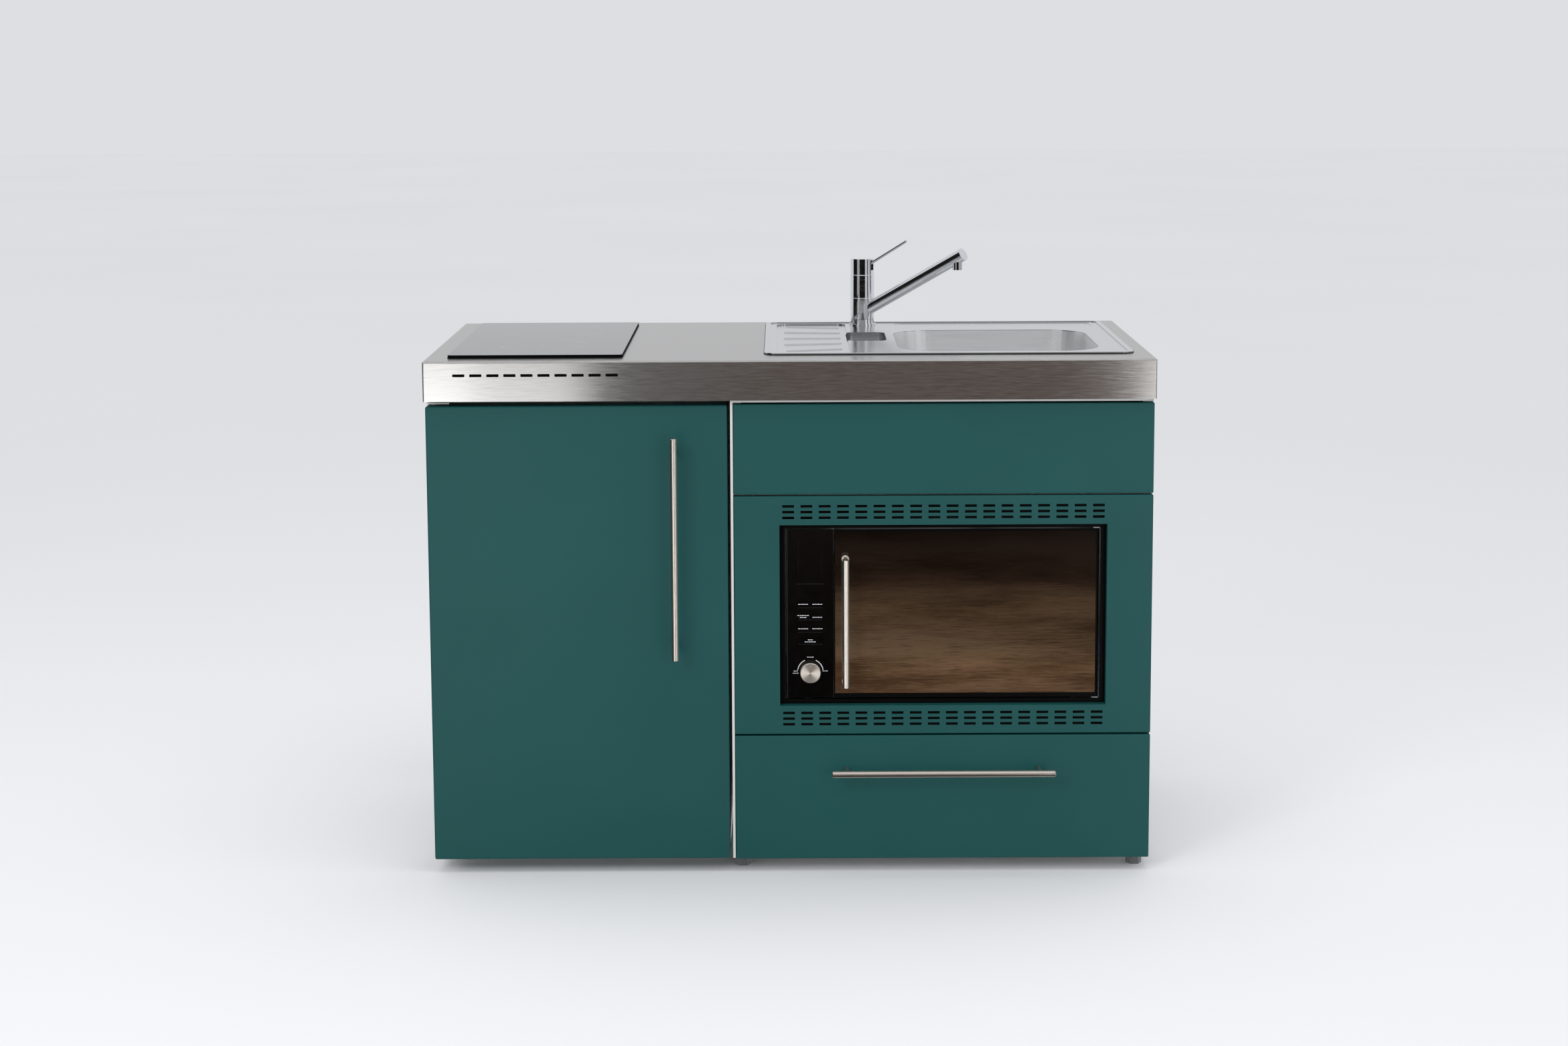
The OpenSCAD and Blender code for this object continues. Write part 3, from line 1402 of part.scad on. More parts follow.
module microwave_electrics() color("darkgreen") placed() {
    board_t = 1.6;
    board_in = 2.6;
    encoder = [16, 6.4];
    magnetron_w = 46;
    tube_r = 14;
    coil_h = 66;
    core_h = 36;
    capacitor_h = 90;
    motor_r = 25;
    motor_h = 16;
    fan_motor_w = 40;
    fan_motor_l = 16;
    floor_z = casing_z[0] + casing_t;
    inner_left = casing_x[0] + casing_t;
    wall_x = cavity_x[0] - cavity_t;
    back_y = casing_y[1] - casing_t;
    coil_x = [inner_left + 14, wall_x - 17];
    coil_y = [table_y + 10, table_y + 88];
    // Circuit board with the knob's encoder
    block(grow(panel_x, -board_in), [board_y, board_y + board_t], [oven_z[0] + 28, oven_z[1] - 4]);
    block(about(knob_x, encoder.x), [board_y - encoder.y, board_y], about(knob_z, encoder.x));
    // Magnetron on the cavity's wall
    block([wall_x - magnetron_w, wall_x], [table_y - 45, table_y + 35],
        [cavity_z[1] - 120, cavity_z[1] - 30]);
    rod_z(wall_x - magnetron_w / 2, table_y - 5, [cavity_z[1] - 138, cavity_z[1] - 119], tube_r);
    // Transformer and capacitor on the casing's floor
    block(coil_x, coil_y, [floor_z, floor_z + coil_h]);
    block(grow(coil_x, -12), grow(coil_y, 18), about(floor_z + coil_h / 2, core_h));
    along_z([floor_z, floor_z + capacitor_h]) rounded(grow(coil_x, -9), [table_y - 90, table_y - 56], 15);
    // Turntable motor and its shaft
    rod_z(table_x, table_y, [cavity_z[0] - cavity_t - motor_h, cavity_z[0] - cavity_t], motor_r);
    rod_z(table_x, table_y, [cavity_z[0] - cavity_t - cut, cavity_z[0] + 11], table_shaft_r);
    // Fan motor on the casing's back
    block(about(fan_x, fan_motor_w), [back_y - fan_motor_l, back_y], about(fan_z, fan_motor_w));
    rod_y(fan_x, [fan_hub_y[0] - 2, back_y - fan_motor_l + cut], fan_z, fan_shaft_r);
}

module cooling_fan() color("dimgray") placed() {
    blades = 5;
    blade_w = 18;
    blade_t = 1.5;
    blade_pitch = 32;
    hub_r = 9;
    root_r = hub_r - 2;
    difference() {
        union() {
            rod_y(fan_x, fan_hub_y, fan_z, hub_r);
            translate([fan_x, (fan_hub_y[0] + fan_hub_y[1]) / 2, fan_z]) {
                for (i = [0:blades - 1]) {
                    rotate([0, i * 360 / blades, 0]) rotate([0, 0, blade_pitch])
                        block(about(0, blade_w), about(0, blade_t), [root_r, fan_r]);
                }
            }
        }
        rod_y(fan_x, grow(fan_hub_y, cut), fan_z, fan_shaft_r + pin_fit);
    }
}

module microwave_door() color("black") placed() {
    y = [oven_y, oven_y + oven_door_t];
    pocket_r = 1;
    window_depth = 18;
    window_r = 6;
    bore_l = 9;
    difference() {
        along_z(oven_z) rounded(oven_door_x, y, oven_hinge_r, [0, 1, 0, 0]);
        along_y([y[0] - cut, y[0] + glass_t - glass_proud]) rounded(glass_x, glass_z, pocket_r);
        along_y([y[1] - window_depth, y[1] + cut]) rounded(grow(cavity_x, 4), grow(cavity_z, 2), window_r);
        for (z = [[oven_z[0] - cut, oven_z[0] + bore_l], [oven_z[1] - bore_l, oven_z[1] + cut]]) {
            rod_z(oven_hinge_x, oven_hinge_y, z, oven_pin_r + pin_fit);
        }
    }
}

module microwave_door_glass() color("saddlebrown") placed() {
    glass_r = 1;
    along_y([oven_y - glass_proud, oven_y + glass_t - glass_proud])
        rounded(grow(glass_x, -glass_fit), grow(glass_z, -glass_fit), glass_r);
}

module turntable_plate() color("lightcyan") placed() {
    hub_r = 13;
    hub_z = cavity_z[0] + 4;
    plate_t = 4;
    lip_w = 14;
    lip_h = 5;
    lip_t = 4;
    bore_l = 8;
    translate([table_x, table_y, 0]) difference() {
        union() {
            translate([0, 0, table_z]) cylinder(r = turntable_r, h = plate_t);
            translate([0, 0, table_z + plate_t]) rotate_extrude() polygon([
                [turntable_r - lip_w, -cut],
                [turntable_r, -cut],
                [turntable_r, lip_h],
                [turntable_r - lip_t, lip_h]
            ]);
            translate([0, 0, hub_z]) cylinder(r = hub_r, h = table_z - hub_z + cut);
        }
        translate([0, 0, hub_z - cut]) cylinder(r = table_shaft_r + pin_fit, h = bore_l + cut);
    }
}

module roller_ring() color("gainsboro") placed() {
    ring_r = turntable_r * 0.68;
    ring_w = 6;
    ring_h = 5;
    wheels = 3;
    axle_r = 2;
    axle_l = 14;
    wheel_w = 6;
    wheel_z = cavity_z[0] + seat_gap + roller_r;
    translate([table_x, table_y, wheel_z]) {
        rotate_extrude() translate([ring_r - ring_w / 2, -ring_h / 2]) square([ring_w, ring_h]);
        for (i = [0:wheels - 1]) {
            rotate([0, 0, i * 360 / wheels]) translate([ring_r, 0, 0]) rotate([0, 90, 0]) {
                cylinder(r = axle_r, h = axle_l);
                translate([0, 0, ring_w]) cylinder(r = roller_r, h = wheel_w);
            }
        }
    }
}

// ---- Drawer ----

module drawer_front() color("darkslategray") placed() {
    pan(front_x, [front_setback, front_back_y], drawer_zz, sheet_t, 2.5 * front_flange);
}

module drawer_box() color("lightgray") placed() {
    t = 1.2;
    difference() {
        block(box_x, box_y, box_z);
        block(grow(box_x, -t), grow(box_y, -t), [box_z[0] + t, box_z[1] + cut]);
    }
}

// One channel member of a runner: x is its span from the cabinet's wall, web names the side
// that its flat back lies on, and half is half its height
module member(x, half, web, y) {
    open = web == "wall" ? [x[0] + member_t, x[1] + cut] : [x[0] - cut, x[1] - member_t];
    difference() {
        block(x, y, [-half, half]);
        block(open, grow(y, cut), [-half + member_t, half - member_t]);
    }
}

// Puts a runner on both sides of the drawer
module both_sides() {
    translate([inner_x[0], 0, runner_z]) children();
    translate([inner_x[1], 0, runner_z]) mirror([1, 0, 0]) children();
}

module runner_outer() color("gray") placed() both_sides() {
    member([0, runner_w - 3], runner_h / 2, "wall", runner_y);
}

module runner_middle() color("gray") placed() both_sides() {
    member([middle_start, runner_w - 3], runner_h / 2 - member_t - seat_gap, "wall", runner_y);
}

module runner_inner() color("gray") placed() both_sides() {
    member([inner_start, runner_w], runner_h / 2 - 2 * (member_t + seat_gap), "box", runner_y);
}

worktop();
worktop_rails();
cabinet_shell();
microwave_shelf();
sink_front();
microwave_surround();
levelling_feet();
hob_glass();
hob_tray();
hob_heaters();
sink();
sink_waste();
waste_pipes();
waste_strainer();
tap_body();
spout();
tap_cap();
lever_pin();
fridge_shell();
fridge_insulation();
fridge_liner();
compressor();
condenser();
fridge_hinges();
fridge_shelves();
crisper();
icebox();
icebox_flap();
thermostat_housing();
thermostat_dial();
fridge_door_panel();
fridge_door_liner();
door_gasket();
fridge_handle();
door_racks();
microwave_casing();
microwave_cavity();
microwave_trim();
control_panel();
microwave_electrics();
microwave_door();
microwave_door_glass();
microwave_handle();
microwave_knob();
button_left_top();
button_right_top();
button_left_middle();
button_right_middle();
button_left_bottom();
button_right_bottom();
button_start();
turntable_plate();
roller_ring();
cooling_fan();
drawer_front();
drawer_box();
drawer_handle();
runner_outer();
runner_middle();
runner_inner();
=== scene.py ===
import math
import bmesh
import bpy
from mathutils import Matrix, Vector
from mathutils.geometry import interpolate_bezier


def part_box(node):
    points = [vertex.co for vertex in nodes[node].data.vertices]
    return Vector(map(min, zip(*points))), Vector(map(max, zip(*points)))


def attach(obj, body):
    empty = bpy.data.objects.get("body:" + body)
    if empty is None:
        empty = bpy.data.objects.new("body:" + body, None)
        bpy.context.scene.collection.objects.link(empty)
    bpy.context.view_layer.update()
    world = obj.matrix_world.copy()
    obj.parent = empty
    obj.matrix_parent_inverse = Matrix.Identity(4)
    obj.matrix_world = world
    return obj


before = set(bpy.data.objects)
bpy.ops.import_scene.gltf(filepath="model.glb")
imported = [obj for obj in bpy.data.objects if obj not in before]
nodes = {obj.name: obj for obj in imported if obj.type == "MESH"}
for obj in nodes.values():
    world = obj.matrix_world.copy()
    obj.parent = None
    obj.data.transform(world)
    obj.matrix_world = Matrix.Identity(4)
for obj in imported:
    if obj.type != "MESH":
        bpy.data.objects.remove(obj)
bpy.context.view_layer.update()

MM = 0.001
# The worktop's front edge is where depths are measured from
FRONT_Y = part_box("worktop")[0].y


def at(x, depth, z):
    """A point given in millimetres: across, back from the worktop's front edge, and up from the floor."""
    return Vector((x * MM, FRONT_Y + depth * MM, z * MM))


def depth_of(y):
    """How many millimetres behind the worktop's front edge a Y in metres lies."""
    return (y - FRONT_Y) / MM


# ---------------------------------------------------------------- Camera

# Where the photograph was taken from, as at() takes it, and how the camera was turned
CAMERA_X, CAMERA_DEPTH, CAMERA_Z = -6.8, -4262.6, 1374.4
PITCH, YAW, ROLL = math.radians(7.625), math.radians(-0.035), math.radians(-0.267)
SENSOR_W, FOCAL_LENGTH, FRAME_SHIFT, FAR_CLIP = 36, 60.48, -0.08, 200

forward = Vector((math.sin(YAW) * math.cos(PITCH), math.cos(YAW) * math.cos(PITCH), -math.sin(PITCH)))
level_right = Vector((math.cos(YAW), -math.sin(YAW), 0))
level_up = level_right.cross(forward)
right = math.cos(ROLL) * level_right + math.sin(ROLL) * level_up
up = -math.sin(ROLL) * level_right + math.cos(ROLL) * level_up
camera_data = bpy.data.cameras.new("photo_camera")
camera_data.sensor_width = SENSOR_W
camera_data.lens = FOCAL_LENGTH
camera_data.shift_y = FRAME_SHIFT
camera_data.clip_end = FAR_CLIP
camera = bpy.data.objects.new("photo_camera", camera_data)
camera.matrix_world = Matrix.Translation(at(CAMERA_X, CAMERA_DEPTH, CAMERA_Z)) @ Matrix(
    (right, up, -forward)).transposed().to_4x4()
bpy.context.scene.collection.objects.link(camera)
bpy.context.scene.camera = camera


# ---------------------------------------------------------------- Colours and nodes

def linear(hex_code):
    """An sRGB hex colour as the linear red, green, blue and alpha that the shaders take."""
    channels = [int(hex_code[i:i + 2], 16) / 255 for i in (1, 3, 5)]
    return tuple(c / 12.92 if c <= 0.04045 else ((c + 0.055) / 1.055) ** 2.4 for c in channels) + (1.0,)


def add(tree, kind, inputs=None, **settings):
    """Adds one node with its settings, and sets or links its inputs."""
    node = tree.nodes.new(kind)
    for key, value in settings.items():
        setattr(node, key, value)
    for socket, value in (inputs or {}).items():
        if isinstance(value, bpy.types.NodeSocket):
            tree.links.new(value, node.inputs[socket])
        else:
            node.inputs[socket].default_value = value
    return node


def ramp_stops(node, stops):
    """Puts a colour ramp's stops at the given places."""
    elements = node.color_ramp.elements
    while len(elements) < len(stops):
        elements.new(0.5)
    for element, (place, colour) in zip(elements, stops):
        element.position = place
        element.color = colour


def start_material(name, **sockets):
    """A new material with its shader, whose even values are set on the shader itself."""
    material = bpy.data.materials.new(name)
    material.use_nodes = True
    tree = material.node_tree
    tree.nodes.clear()
    shader = add(tree, "ShaderNodeBsdfPrincipled", {k.replace("_", " "): v for k, v in sockets.items()})
    add(tree, "ShaderNodeOutputMaterial", {"Surface": shader.outputs["BSDF"]})
    return material, tree, shader


def own_axes(tree):
    """How far across, back and up each point of the piece lies, in metres."""
    place = add(tree, "ShaderNodeTexCoord").outputs["Object"]
    return add(tree, "ShaderNodeSeparateXYZ", {"Vector": place}).outputs


def pattern(tree, size_mm, stretch=(1, 1, 1), detail=2.0, place=None, roughness=0.5):
    """Noise with lumps of size_mm where stretch is 1, on the piece's own coordinates or on place."""
    if place is None:
        place = add(tree, "ShaderNodeTexCoord").outputs["Object"]
    scaled = add(tree, "ShaderNodeMapping", {"Vector": place, "Scale": stretch}).outputs["Vector"]
    return add(tree, "ShaderNodeTexNoise", {
        "Vector": scaled, "Scale": 1 / (size_mm * MM), "Detail": detail,
        "Roughness": roughness}).outputs["Fac"]


def spread(tree, value, low, high, start=0.3, end=0.7):
    """Turns a pattern between start and end into a number between low and high."""
    return add(tree, "ShaderNodeMapRange", {
        "Value": value, "From Min": start, "From Max": end, "To Min": low, "To Max": high}).outputs["Result"]


def blend_colours(tree, factor, low, high):
    """A colour between low and high, which are hex codes or links."""
    low = linear(low) if isinstance(low, str) else low
    high = linear(high) if isinstance(high, str) else high
    return add(tree, "ShaderNodeMix", {0: factor, 6: low, 7: high}, data_type="RGBA").outputs[2]


def bump(tree, shader, height, depth_mm):
    """Raises the surface by depth_mm where the pattern is white."""
    normal = add(tree, "ShaderNodeBump", {"Height": height, "Distance": depth_mm * MM})
    tree.links.new(normal.outputs["Normal"], shader.inputs["Normal"])


def common(name, low, high, rough, grain_mm, bump_mm=0.0, cloud_mm=60, swing=0.05, **sockets):
    """A finish whose colour drifts slowly from low to high, with a fine grain in its gloss and height."""
    material, tree, shader = start_material(name, **sockets)
    cloud = pattern(tree, cloud_mm)
    tree.links.new(blend_colours(tree, spread(tree, cloud, 0, 1), low, high), shader.inputs["Base Color"])
    grain = pattern(tree, grain_mm, detail=3)
    tree.links.new(spread(tree, grain, rough - swing, rough + swing), shader.inputs["Roughness"])
    if bump_mm:
        bump(tree, shader, grain, bump_mm)
    return material


# How much a brushed line is drawn out along the brush's way
LINE_STRETCH = 0.03


def brushed(name, low, high, rough, along, line_mm, anisotropic=0.9, depth_mm=0.0015):
    """Stainless steel brushed in one direction: fine lines that smear reflections across themselves."""
    material, tree, shader = start_material(
        name, Metallic=1.0, Anisotropic=anisotropic, Anisotropic_Rotation=0.25)
    stretch = [1.0, 1.0, 1.0]
    stretch["XYZ".index(along)] = LINE_STRETCH
    lines = pattern(tree, line_mm, stretch, 4)
    tree.links.new(blend_colours(tree, spread(tree, lines, 0, 1), low, high), shader.inputs["Base Color"])
    tree.links.new(spread(tree, lines, rough - 0.03, rough + 0.04), shader.inputs["Roughness"])
    # The direction of the lines, a little off the axis so that the ends of the sheet have one too
    direction = [0.05, 0.03, 0.05]
    direction["XYZ".index(along)] = 1.0
    lay = add(tree, "ShaderNodeCombineXYZ", dict(zip("XYZ", direction))).outputs["Vector"]
    tree.links.new(lay, shader.inputs["Tangent"])
    bump(tree, shader, lines, depth_mm)
    return material, tree, shader


# ---------------------------------------------------------------- Materials

# Stainless steel sheet, ground lengthwise with a belt: lines run along the worktop and smear reflections
# upwards. Real lines are 0.1 mm apart; they are drawn 0.75 mm apart so that they show.
steel_sheet, tree, shader = brushed(
    "stainless_steel_belt_ground", "#aeadab", "#c4c3c2", 0.21, "X", 0.75, 0.94)
# A few needle-thin triangles of the flat apron come without a normal of their own, so its flat one is used
flat_normal = add(tree, "ShaderNodeNewGeometry").outputs["True Normal"]
tree.links.new(flat_normal, shader.inputs["Normal"].links[0].from_node.inputs["Normal"])

# Stainless steel, pressed: the rim, deck and drainer keep the mill's shine, and the bowl, stretched and then
# polished with fleece, is satin, and its paler tones are painted light for the strong light from above. Real
# lines are 0.1 mm apart, and are drawn 1.2 mm apart
PRESSED_LINE = 1.2
DECK_TONES, BOWL_PAINTED_LIGHT_TONES = ("#bbbdbe", "#c7c9cb"), ("#dfe0e1", "#eaebec")
steel_pressed, tree, shader = brushed("stainless_steel_pressed", *DECK_TONES, 0.2, "X", PRESSED_LINE, 0.2)
# Width of the bowl's opening, and how far below the rim the lowest step of the deck lies
BOWL_W, DECK_DROP = 340.0, 2.1
sink_low, sink_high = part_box("sink")
waste_low, waste_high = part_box("sink_waste")
bowl_left = (waste_low.x + waste_high.x) / 2 - 0.5 * BOWL_W * MM
deck_z = sink_high.z - DECK_DROP * MM
place = own_axes(tree)
left_of_bowl = spread(tree, place["X"], 1, 0, bowl_left - 6 * MM, bowl_left - 5 * MM)
at_deck = spread(tree, place["Z"], 0, 1, deck_z - 0.6 * MM, deck_z - 0.3 * MM)
on_deck = add(tree, "ShaderNodeMath", {0: left_of_bowl, 1: at_deck}, operation="MAXIMUM").outputs["Value"]
tree.links.new(spread(tree, on_deck, 0.9, 1, 0, 1), shader.inputs["Metallic"])
lines = pattern(tree, PRESSED_LINE, (0.012, 1, 1), 4)
base_rough, line_rough = spread(tree, on_deck, 0.4, 0.2, 0, 1), spread(tree, lines, -0.04, 0.05)
rough = add(tree, "ShaderNodeMath", {0: base_rough, 1: line_rough}, operation="ADD").outputs["Value"]
tree.links.new(rough, shader.inputs["Roughness"])
line_tone = spread(tree, lines, 0, 1)
# The bowl takes the paler tones, which are painted light
tree.links.new(blend_colours(tree, on_deck, blend_colours(tree, line_tone, *BOWL_PAINTED_LIGHT_TONES),
                             blend_colours(tree, line_tone, *DECK_TONES)), shader.inputs["Base Color"])

# Stainless steel tube, brushed along its length and left bare: soft long highlights on the round bars, and
# a paler bar on the oven
BAR_TONES, OVEN_BAR_TONES = ("#c6bfb7", "#d0c9c1"), ("#e8e0d5", "#efe8df")
BAR_BRUSH = {"rough": 0.3, "line_mm": 0.3, "anisotropic": 0.5, "depth_mm": 0.001}
steel_bar_upright, _, _ = brushed("stainless_steel_bar_upright", *BAR_TONES, along="Z", **BAR_BRUSH)
steel_bar_level, _, _ = brushed("stainless_steel_bar_level", *BAR_TONES, along="X", **BAR_BRUSH)
oven_bar, _, _ = brushed("stainless_steel_bar_oven", *OVEN_BAR_TONES, along="Z", **BAR_BRUSH)

# Brass, chromium plated and buffed: a hard mirror with the faintest haze of handling
chrome, tree, shader = start_material("chromium_plate_buffed", Metallic=1.0)
tree.links.new(blend_colours(tree, pattern(tree, 12), "#d3d6da", "#dfe1e4"), shader.inputs["Base Color"])
tree.links.new(spread(tree, pattern(tree, 9, detail=4), 0.02, 0.07), shader.inputs["Roughness"])

# Steel sheet, hot-dip galvanised: grey with the spangle of zinc crystals 6 mm across
galvanised, tree, shader = start_material("steel_galvanised", Metallic=0.85)
spangle = add(tree, "ShaderNodeTexVoronoi", {
    "Vector": add(tree, "ShaderNodeTexCoord").outputs["Object"], "Scale": 1 / (6 * MM)}).outputs["Color"]
tree.links.new(blend_colours(tree, spangle, "#8b8f92", "#b2b6b8"), shader.inputs["Base Color"])
tree.links.new(spread(tree, spangle, 0.3, 0.5, 0, 1), shader.inputs["Roughness"])

# Steel, powder coated and baked: an even colour with the slight orange peel of melted powder, 1.5 mm across
teal = common("steel_powder_coated_teal", "#154b4a", "#174e4d", 0.46, 1.5, 0.006, 220,
              Specular_IOR_Level=0.22)
carcass = common("steel_powder_coated_grey", "#c6c7c5", "#c9cac8", 0.42, 1.5, 0.006, 90)
drawer_grey = common("steel_powder_coated_light", "#babcbb", "#bec0bf", 0.44, 1.5, 0.006, 90)

# Steel, enamelled or painted white: glossy, with a soft waviness 12 mm across
enamel = common("steel_enamelled_white", "#d3d4d2", "#d7d8d6", 0.24, 12, 0.004, 90, 0.03)

# Glass ceramic, black: polished on top, where it turns pale at a low angle, and ground dull at its edge
hob_black, tree, shader = start_material("glass_ceramic_black", IOR=1.52)
tree.links.new(blend_colours(tree, pattern(tree, 90), "#050506", "#0a0a0c"), shader.inputs["Base Color"])
hob_low, hob_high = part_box("hob_glass")
polished = spread(tree, own_axes(tree)["Z"], 0, 1, hob_high.z - 0.5 * MM, hob_high.z - 0.2 * MM)
tree.links.new(spread(tree, polished, 0.8, 0.045, 0, 1), shader.inputs["Roughness"])
tree.links.new(spread(tree, polished, 0.05, 0.5, 0, 1), shader.inputs["Specular IOR Level"])

# Ceramic frit, screen printed on the glass and fired: grey lines
frit = common("ceramic_frit_grey", "#a0a2a6", "#b4b6ba", 0.3, 2)

# Polyester fleece, felted black: it drinks the light, and its fibres are 1.2 mm tufts here. Its pieces
# behind the apron's slots and the vent grilles, and its discs on the cavity's walls, are painted shade
fleece = common("polyester_fleece_black_and_painted_shade", "#030303", "#080706", 0.95, 1.2, 0.2, 12, Specular_IOR_Level=0.1)

# Silicone rubber, cast in the joint: a dull black bead
silicone = common("silicone_rubber_black", "#0c0c0d", "#141415", 0.45, 3, 0.02)

# Ceramic fibre board, pressed: chalky and dull, with a coarse felt in it
fibre = common("ceramic_fibre_board", "#a9a397", "#bdb7aa", 0.9, 2, 0.15, 20)

# ABS, moulded black: glossy on the oven's panel, buttons and display, fine and dull on its trim and door
black_gloss = common("abs_moulded_black_gloss", "#020202", "#040404", 0.18, 20, 0, 80, 0.03,
                     Specular_IOR_Level=0.3)
black_satin = common("abs_moulded_black_satin", "#030303", "#060606", 0.45, 0.8, 0.01,
                     Specular_IOR_Level=0.08)

# Ink, pad printed white on the black panel, and the panel's faint moulded lines
white_ink = common("ink_pad_printed_white", "#c3c6cd", "#d6d8dd", 0.5, 1)
dim_ink = common("ink_pad_printed_dim", "#1b1b1d", "#242427", 0.4, 1)

# Glass, float, clear, with a brown streaked colour under it: streaks 2.8 mm apart that run across the door
# in slow bends, with bands 45 mm wide and dark flecks 1.9 mm apart, brown below and nearly black above
GRAIN, BAND, FLECK, BEND = 2.8, 45, 1.9, 260
door_glass_streaks, tree, shader = start_material("glass_over_brown_streaks", Roughness=0.08, IOR=1.5)
glass_low, glass_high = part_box("microwave_door_glass")
place = own_axes(tree)
bend = pattern(tree, BEND, (1, 1, 2.2), 1.0)
bent = add(tree, "ShaderNodeMath", {0: bend, 1: 14 * MM, 2: place["Z"]}, operation="MULTIPLY_ADD")
rows = add(tree, "ShaderNodeCombineXYZ", {"X": place["X"], "Z": bent.outputs["Value"]}).outputs["Vector"]
grain = pattern(tree, GRAIN, (0.05, 1, 1), 8.0, rows, 0.85)
bands = pattern(tree, BAND, (0.12, 1, 1), 2.0, rows)
flecks = pattern(tree, FLECK, (0.045, 1, 1), 1.0, rows)
fade = add(tree, "ShaderNodeValToRGB", {"Fac": spread(tree, place["Z"], 0, 1, glass_low.z, glass_high.z)})
ramp_stops(fade, [(0.0, linear("#69503c")), (0.14, linear("#6d543e")), (0.3, linear("#564433")),
                  (0.55, linear("#4b3a2a")), (0.7, linear("#291d15")), (1.0, linear("#120e0b"))])
streaked = add(tree, "ShaderNodeMath", {0: grain, 1: bands}, operation="ADD").outputs["Value"]
dark = add(tree, "ShaderNodeMix", {0: 1.0, 6: fade.outputs["Color"], 7: linear("#a39a90")},
           data_type="RGBA", blend_type="MULTIPLY").outputs[2]
grained = blend_colours(tree, spread(tree, streaked, 0, 1, 0.82, 1.14), dark, fade.outputs["Color"])
flecked = blend_colours(tree, spread(tree, flecks, 0, 0.45, 0.6, 0.7), grained, "#1c120c")
tree.links.new(flecked, shader.inputs["Base Color"])

# Aluminium, turned: rings of the tool's path that catch the light in two bright wedges. Real rings are
# 0.4 mm apart, and are drawn 0.8 mm apart so that they show
turned, tree, shader = start_material("aluminium_turned", Metallic=1.0, Anisotropic=0.9)
knob_low, knob_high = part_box("microwave_knob")
knob_x, knob_z = (knob_low.x + knob_high.x) / 2, (knob_low.z + knob_high.z) / 2
offset = add(tree, "ShaderNodeVectorMath", {
    0: add(tree, "ShaderNodeTexCoord").outputs["Object"], 1: (knob_x, 0, knob_z)}, operation="SUBTRACT")
flat = add(tree, "ShaderNodeVectorMath", {0: offset.outputs["Vector"], 1: (1, 0, 1)}, operation="MULTIPLY")
radius = add(tree, "ShaderNodeVectorMath", {0: flat.outputs["Vector"]}, operation="LENGTH").outputs["Value"]
rings = add(tree, "ShaderNodeTexNoise", {"W": radius, "Scale": 1 / (0.8 * MM), "Detail": 2.0},
            noise_dimensions="1D").outputs["Fac"]
ring_tone = blend_colours(tree, spread(tree, rings, 0, 1), "#ece3d8", "#f6efe6")
tree.links.new(ring_tone, shader.inputs["Base Color"])
tree.links.new(spread(tree, rings, 0.33, 0.42), shader.inputs["Roughness"])
tree.links.new(flat.outputs["Vector"], shader.inputs["Tangent"])

# Polyamide, moulded feet: white under the refrigerator, grey under the cabinet
feet_plastic, tree, shader = start_material("polyamide_moulded_feet", Roughness=0.5)
mottle = pattern(tree, 30)
gap_x = (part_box("fridge_shell")[1].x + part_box("cabinet_shell")[0].x) / 2
white_feet = blend_colours(tree, mottle, "#c9cac8", "#dcdddb")
grey_feet = blend_colours(tree, mottle, "#55575a", "#6a6c6f")
past_gap = spread(tree, own_axes(tree)["X"], 0, 1, gap_x - 2 * MM, gap_x + 2 * MM)
tree.links.new(blend_colours(tree, past_gap, white_feet, grey_feet), shader.inputs["Base Color"])
bump(tree, shader, pattern(tree, 1.2, detail=3), 0.02)

# Polypropylene, polystyrene, ABS, PVC and PTFE, moulded, extruded or vacuum formed, and the yellow foam of
# the refrigerator's walls
pipe_white = common("polypropylene_moulded_white", "#d8d8d4", "#e4e4e0", 0.35, 3, 0.01, 50)
liner = common("polystyrene_vacuum_formed", "#e2e5e6", "#e6e9ea", 0.32, 5, 0.01, 60)
dial_white = common("abs_moulded_white", "#cfd3d6", "#dcdfe1", 0.3, 1.5, 0.01, 20)
gasket_grey = common("pvc_extruded_grey", "#8f9294", "#9fa2a4", 0.5, 1.2, 0.02, 40)
roller_grey = common("ptfe_moulded_grey", "#3b3c3e", "#4a4b4d", 0.45, 1.2, 0.01, 20)
foam = common("polyurethane_foamed", "#c9a45c", "#dcbc7c", 0.95, 2.5, 0.5, 30)

# Polystyrene, moulded clear, with faint flow lines
clear = common("polystyrene_moulded_clear", "#dfe8ea", "#eef4f5", 0.12, 30, 0.0, 120, 0.04,
               Transmission_Weight=0.85, IOR=1.45)
# Glass, float, toughened: greenish at its edges
shelf_glass = common("glass_float_toughened", "#cfe6df", "#dcefe9", 0.05, 60, 0, 150, 0.02,
                     Transmission_Weight=0.9, IOR=1.52)
plate_glass = common("glass_pressed", "#dbe6e6", "#e8f0f0", 0.1, 20, 0.01, 60, 0.03,
                     Transmission_Weight=0.85, IOR=1.5)
# Aluminium sheet, roll bonded and anodised
icebox_metal = common("aluminium_roll_bonded", "#b4b9bd", "#c9cdd0", 0.5, 1.0, 0.01, 40, Metallic=0.5)
# Steel, painted black by dipping: the sealed compressor and the condenser's tube
dip_black = common("steel_dip_painted_black", "#0b0b0c", "#161618", 0.32, 4, 0.02, 30)
# Iron and windings, varnished: the oven's electrics, and the dark marks of the thermostat
electrics = common("iron_varnished", "#4b4a49", "#6b6865", 0.45, 1.5, 0.02, 12, Metallic=0.6)

# Copper tube, drawn and left bare: warm, with a dull bloom
copper = common("copper_drawn", "#a9694a", "#bd8060", 0.36, 2, 0.004, 25, Metallic=1.0)
# Mica board, pressed and split: silvery brown flakes 4 mm across
mica = common("mica_board_pressed", "#8d8474", "#aaa18f", 0.4, 4, 0.02, 9)
# Steel sheet, punched and enamelled black
punched = common("steel_punched_enamelled_black", "#131312", "#1b1a19", 0.35, 2, 0.004, 30)
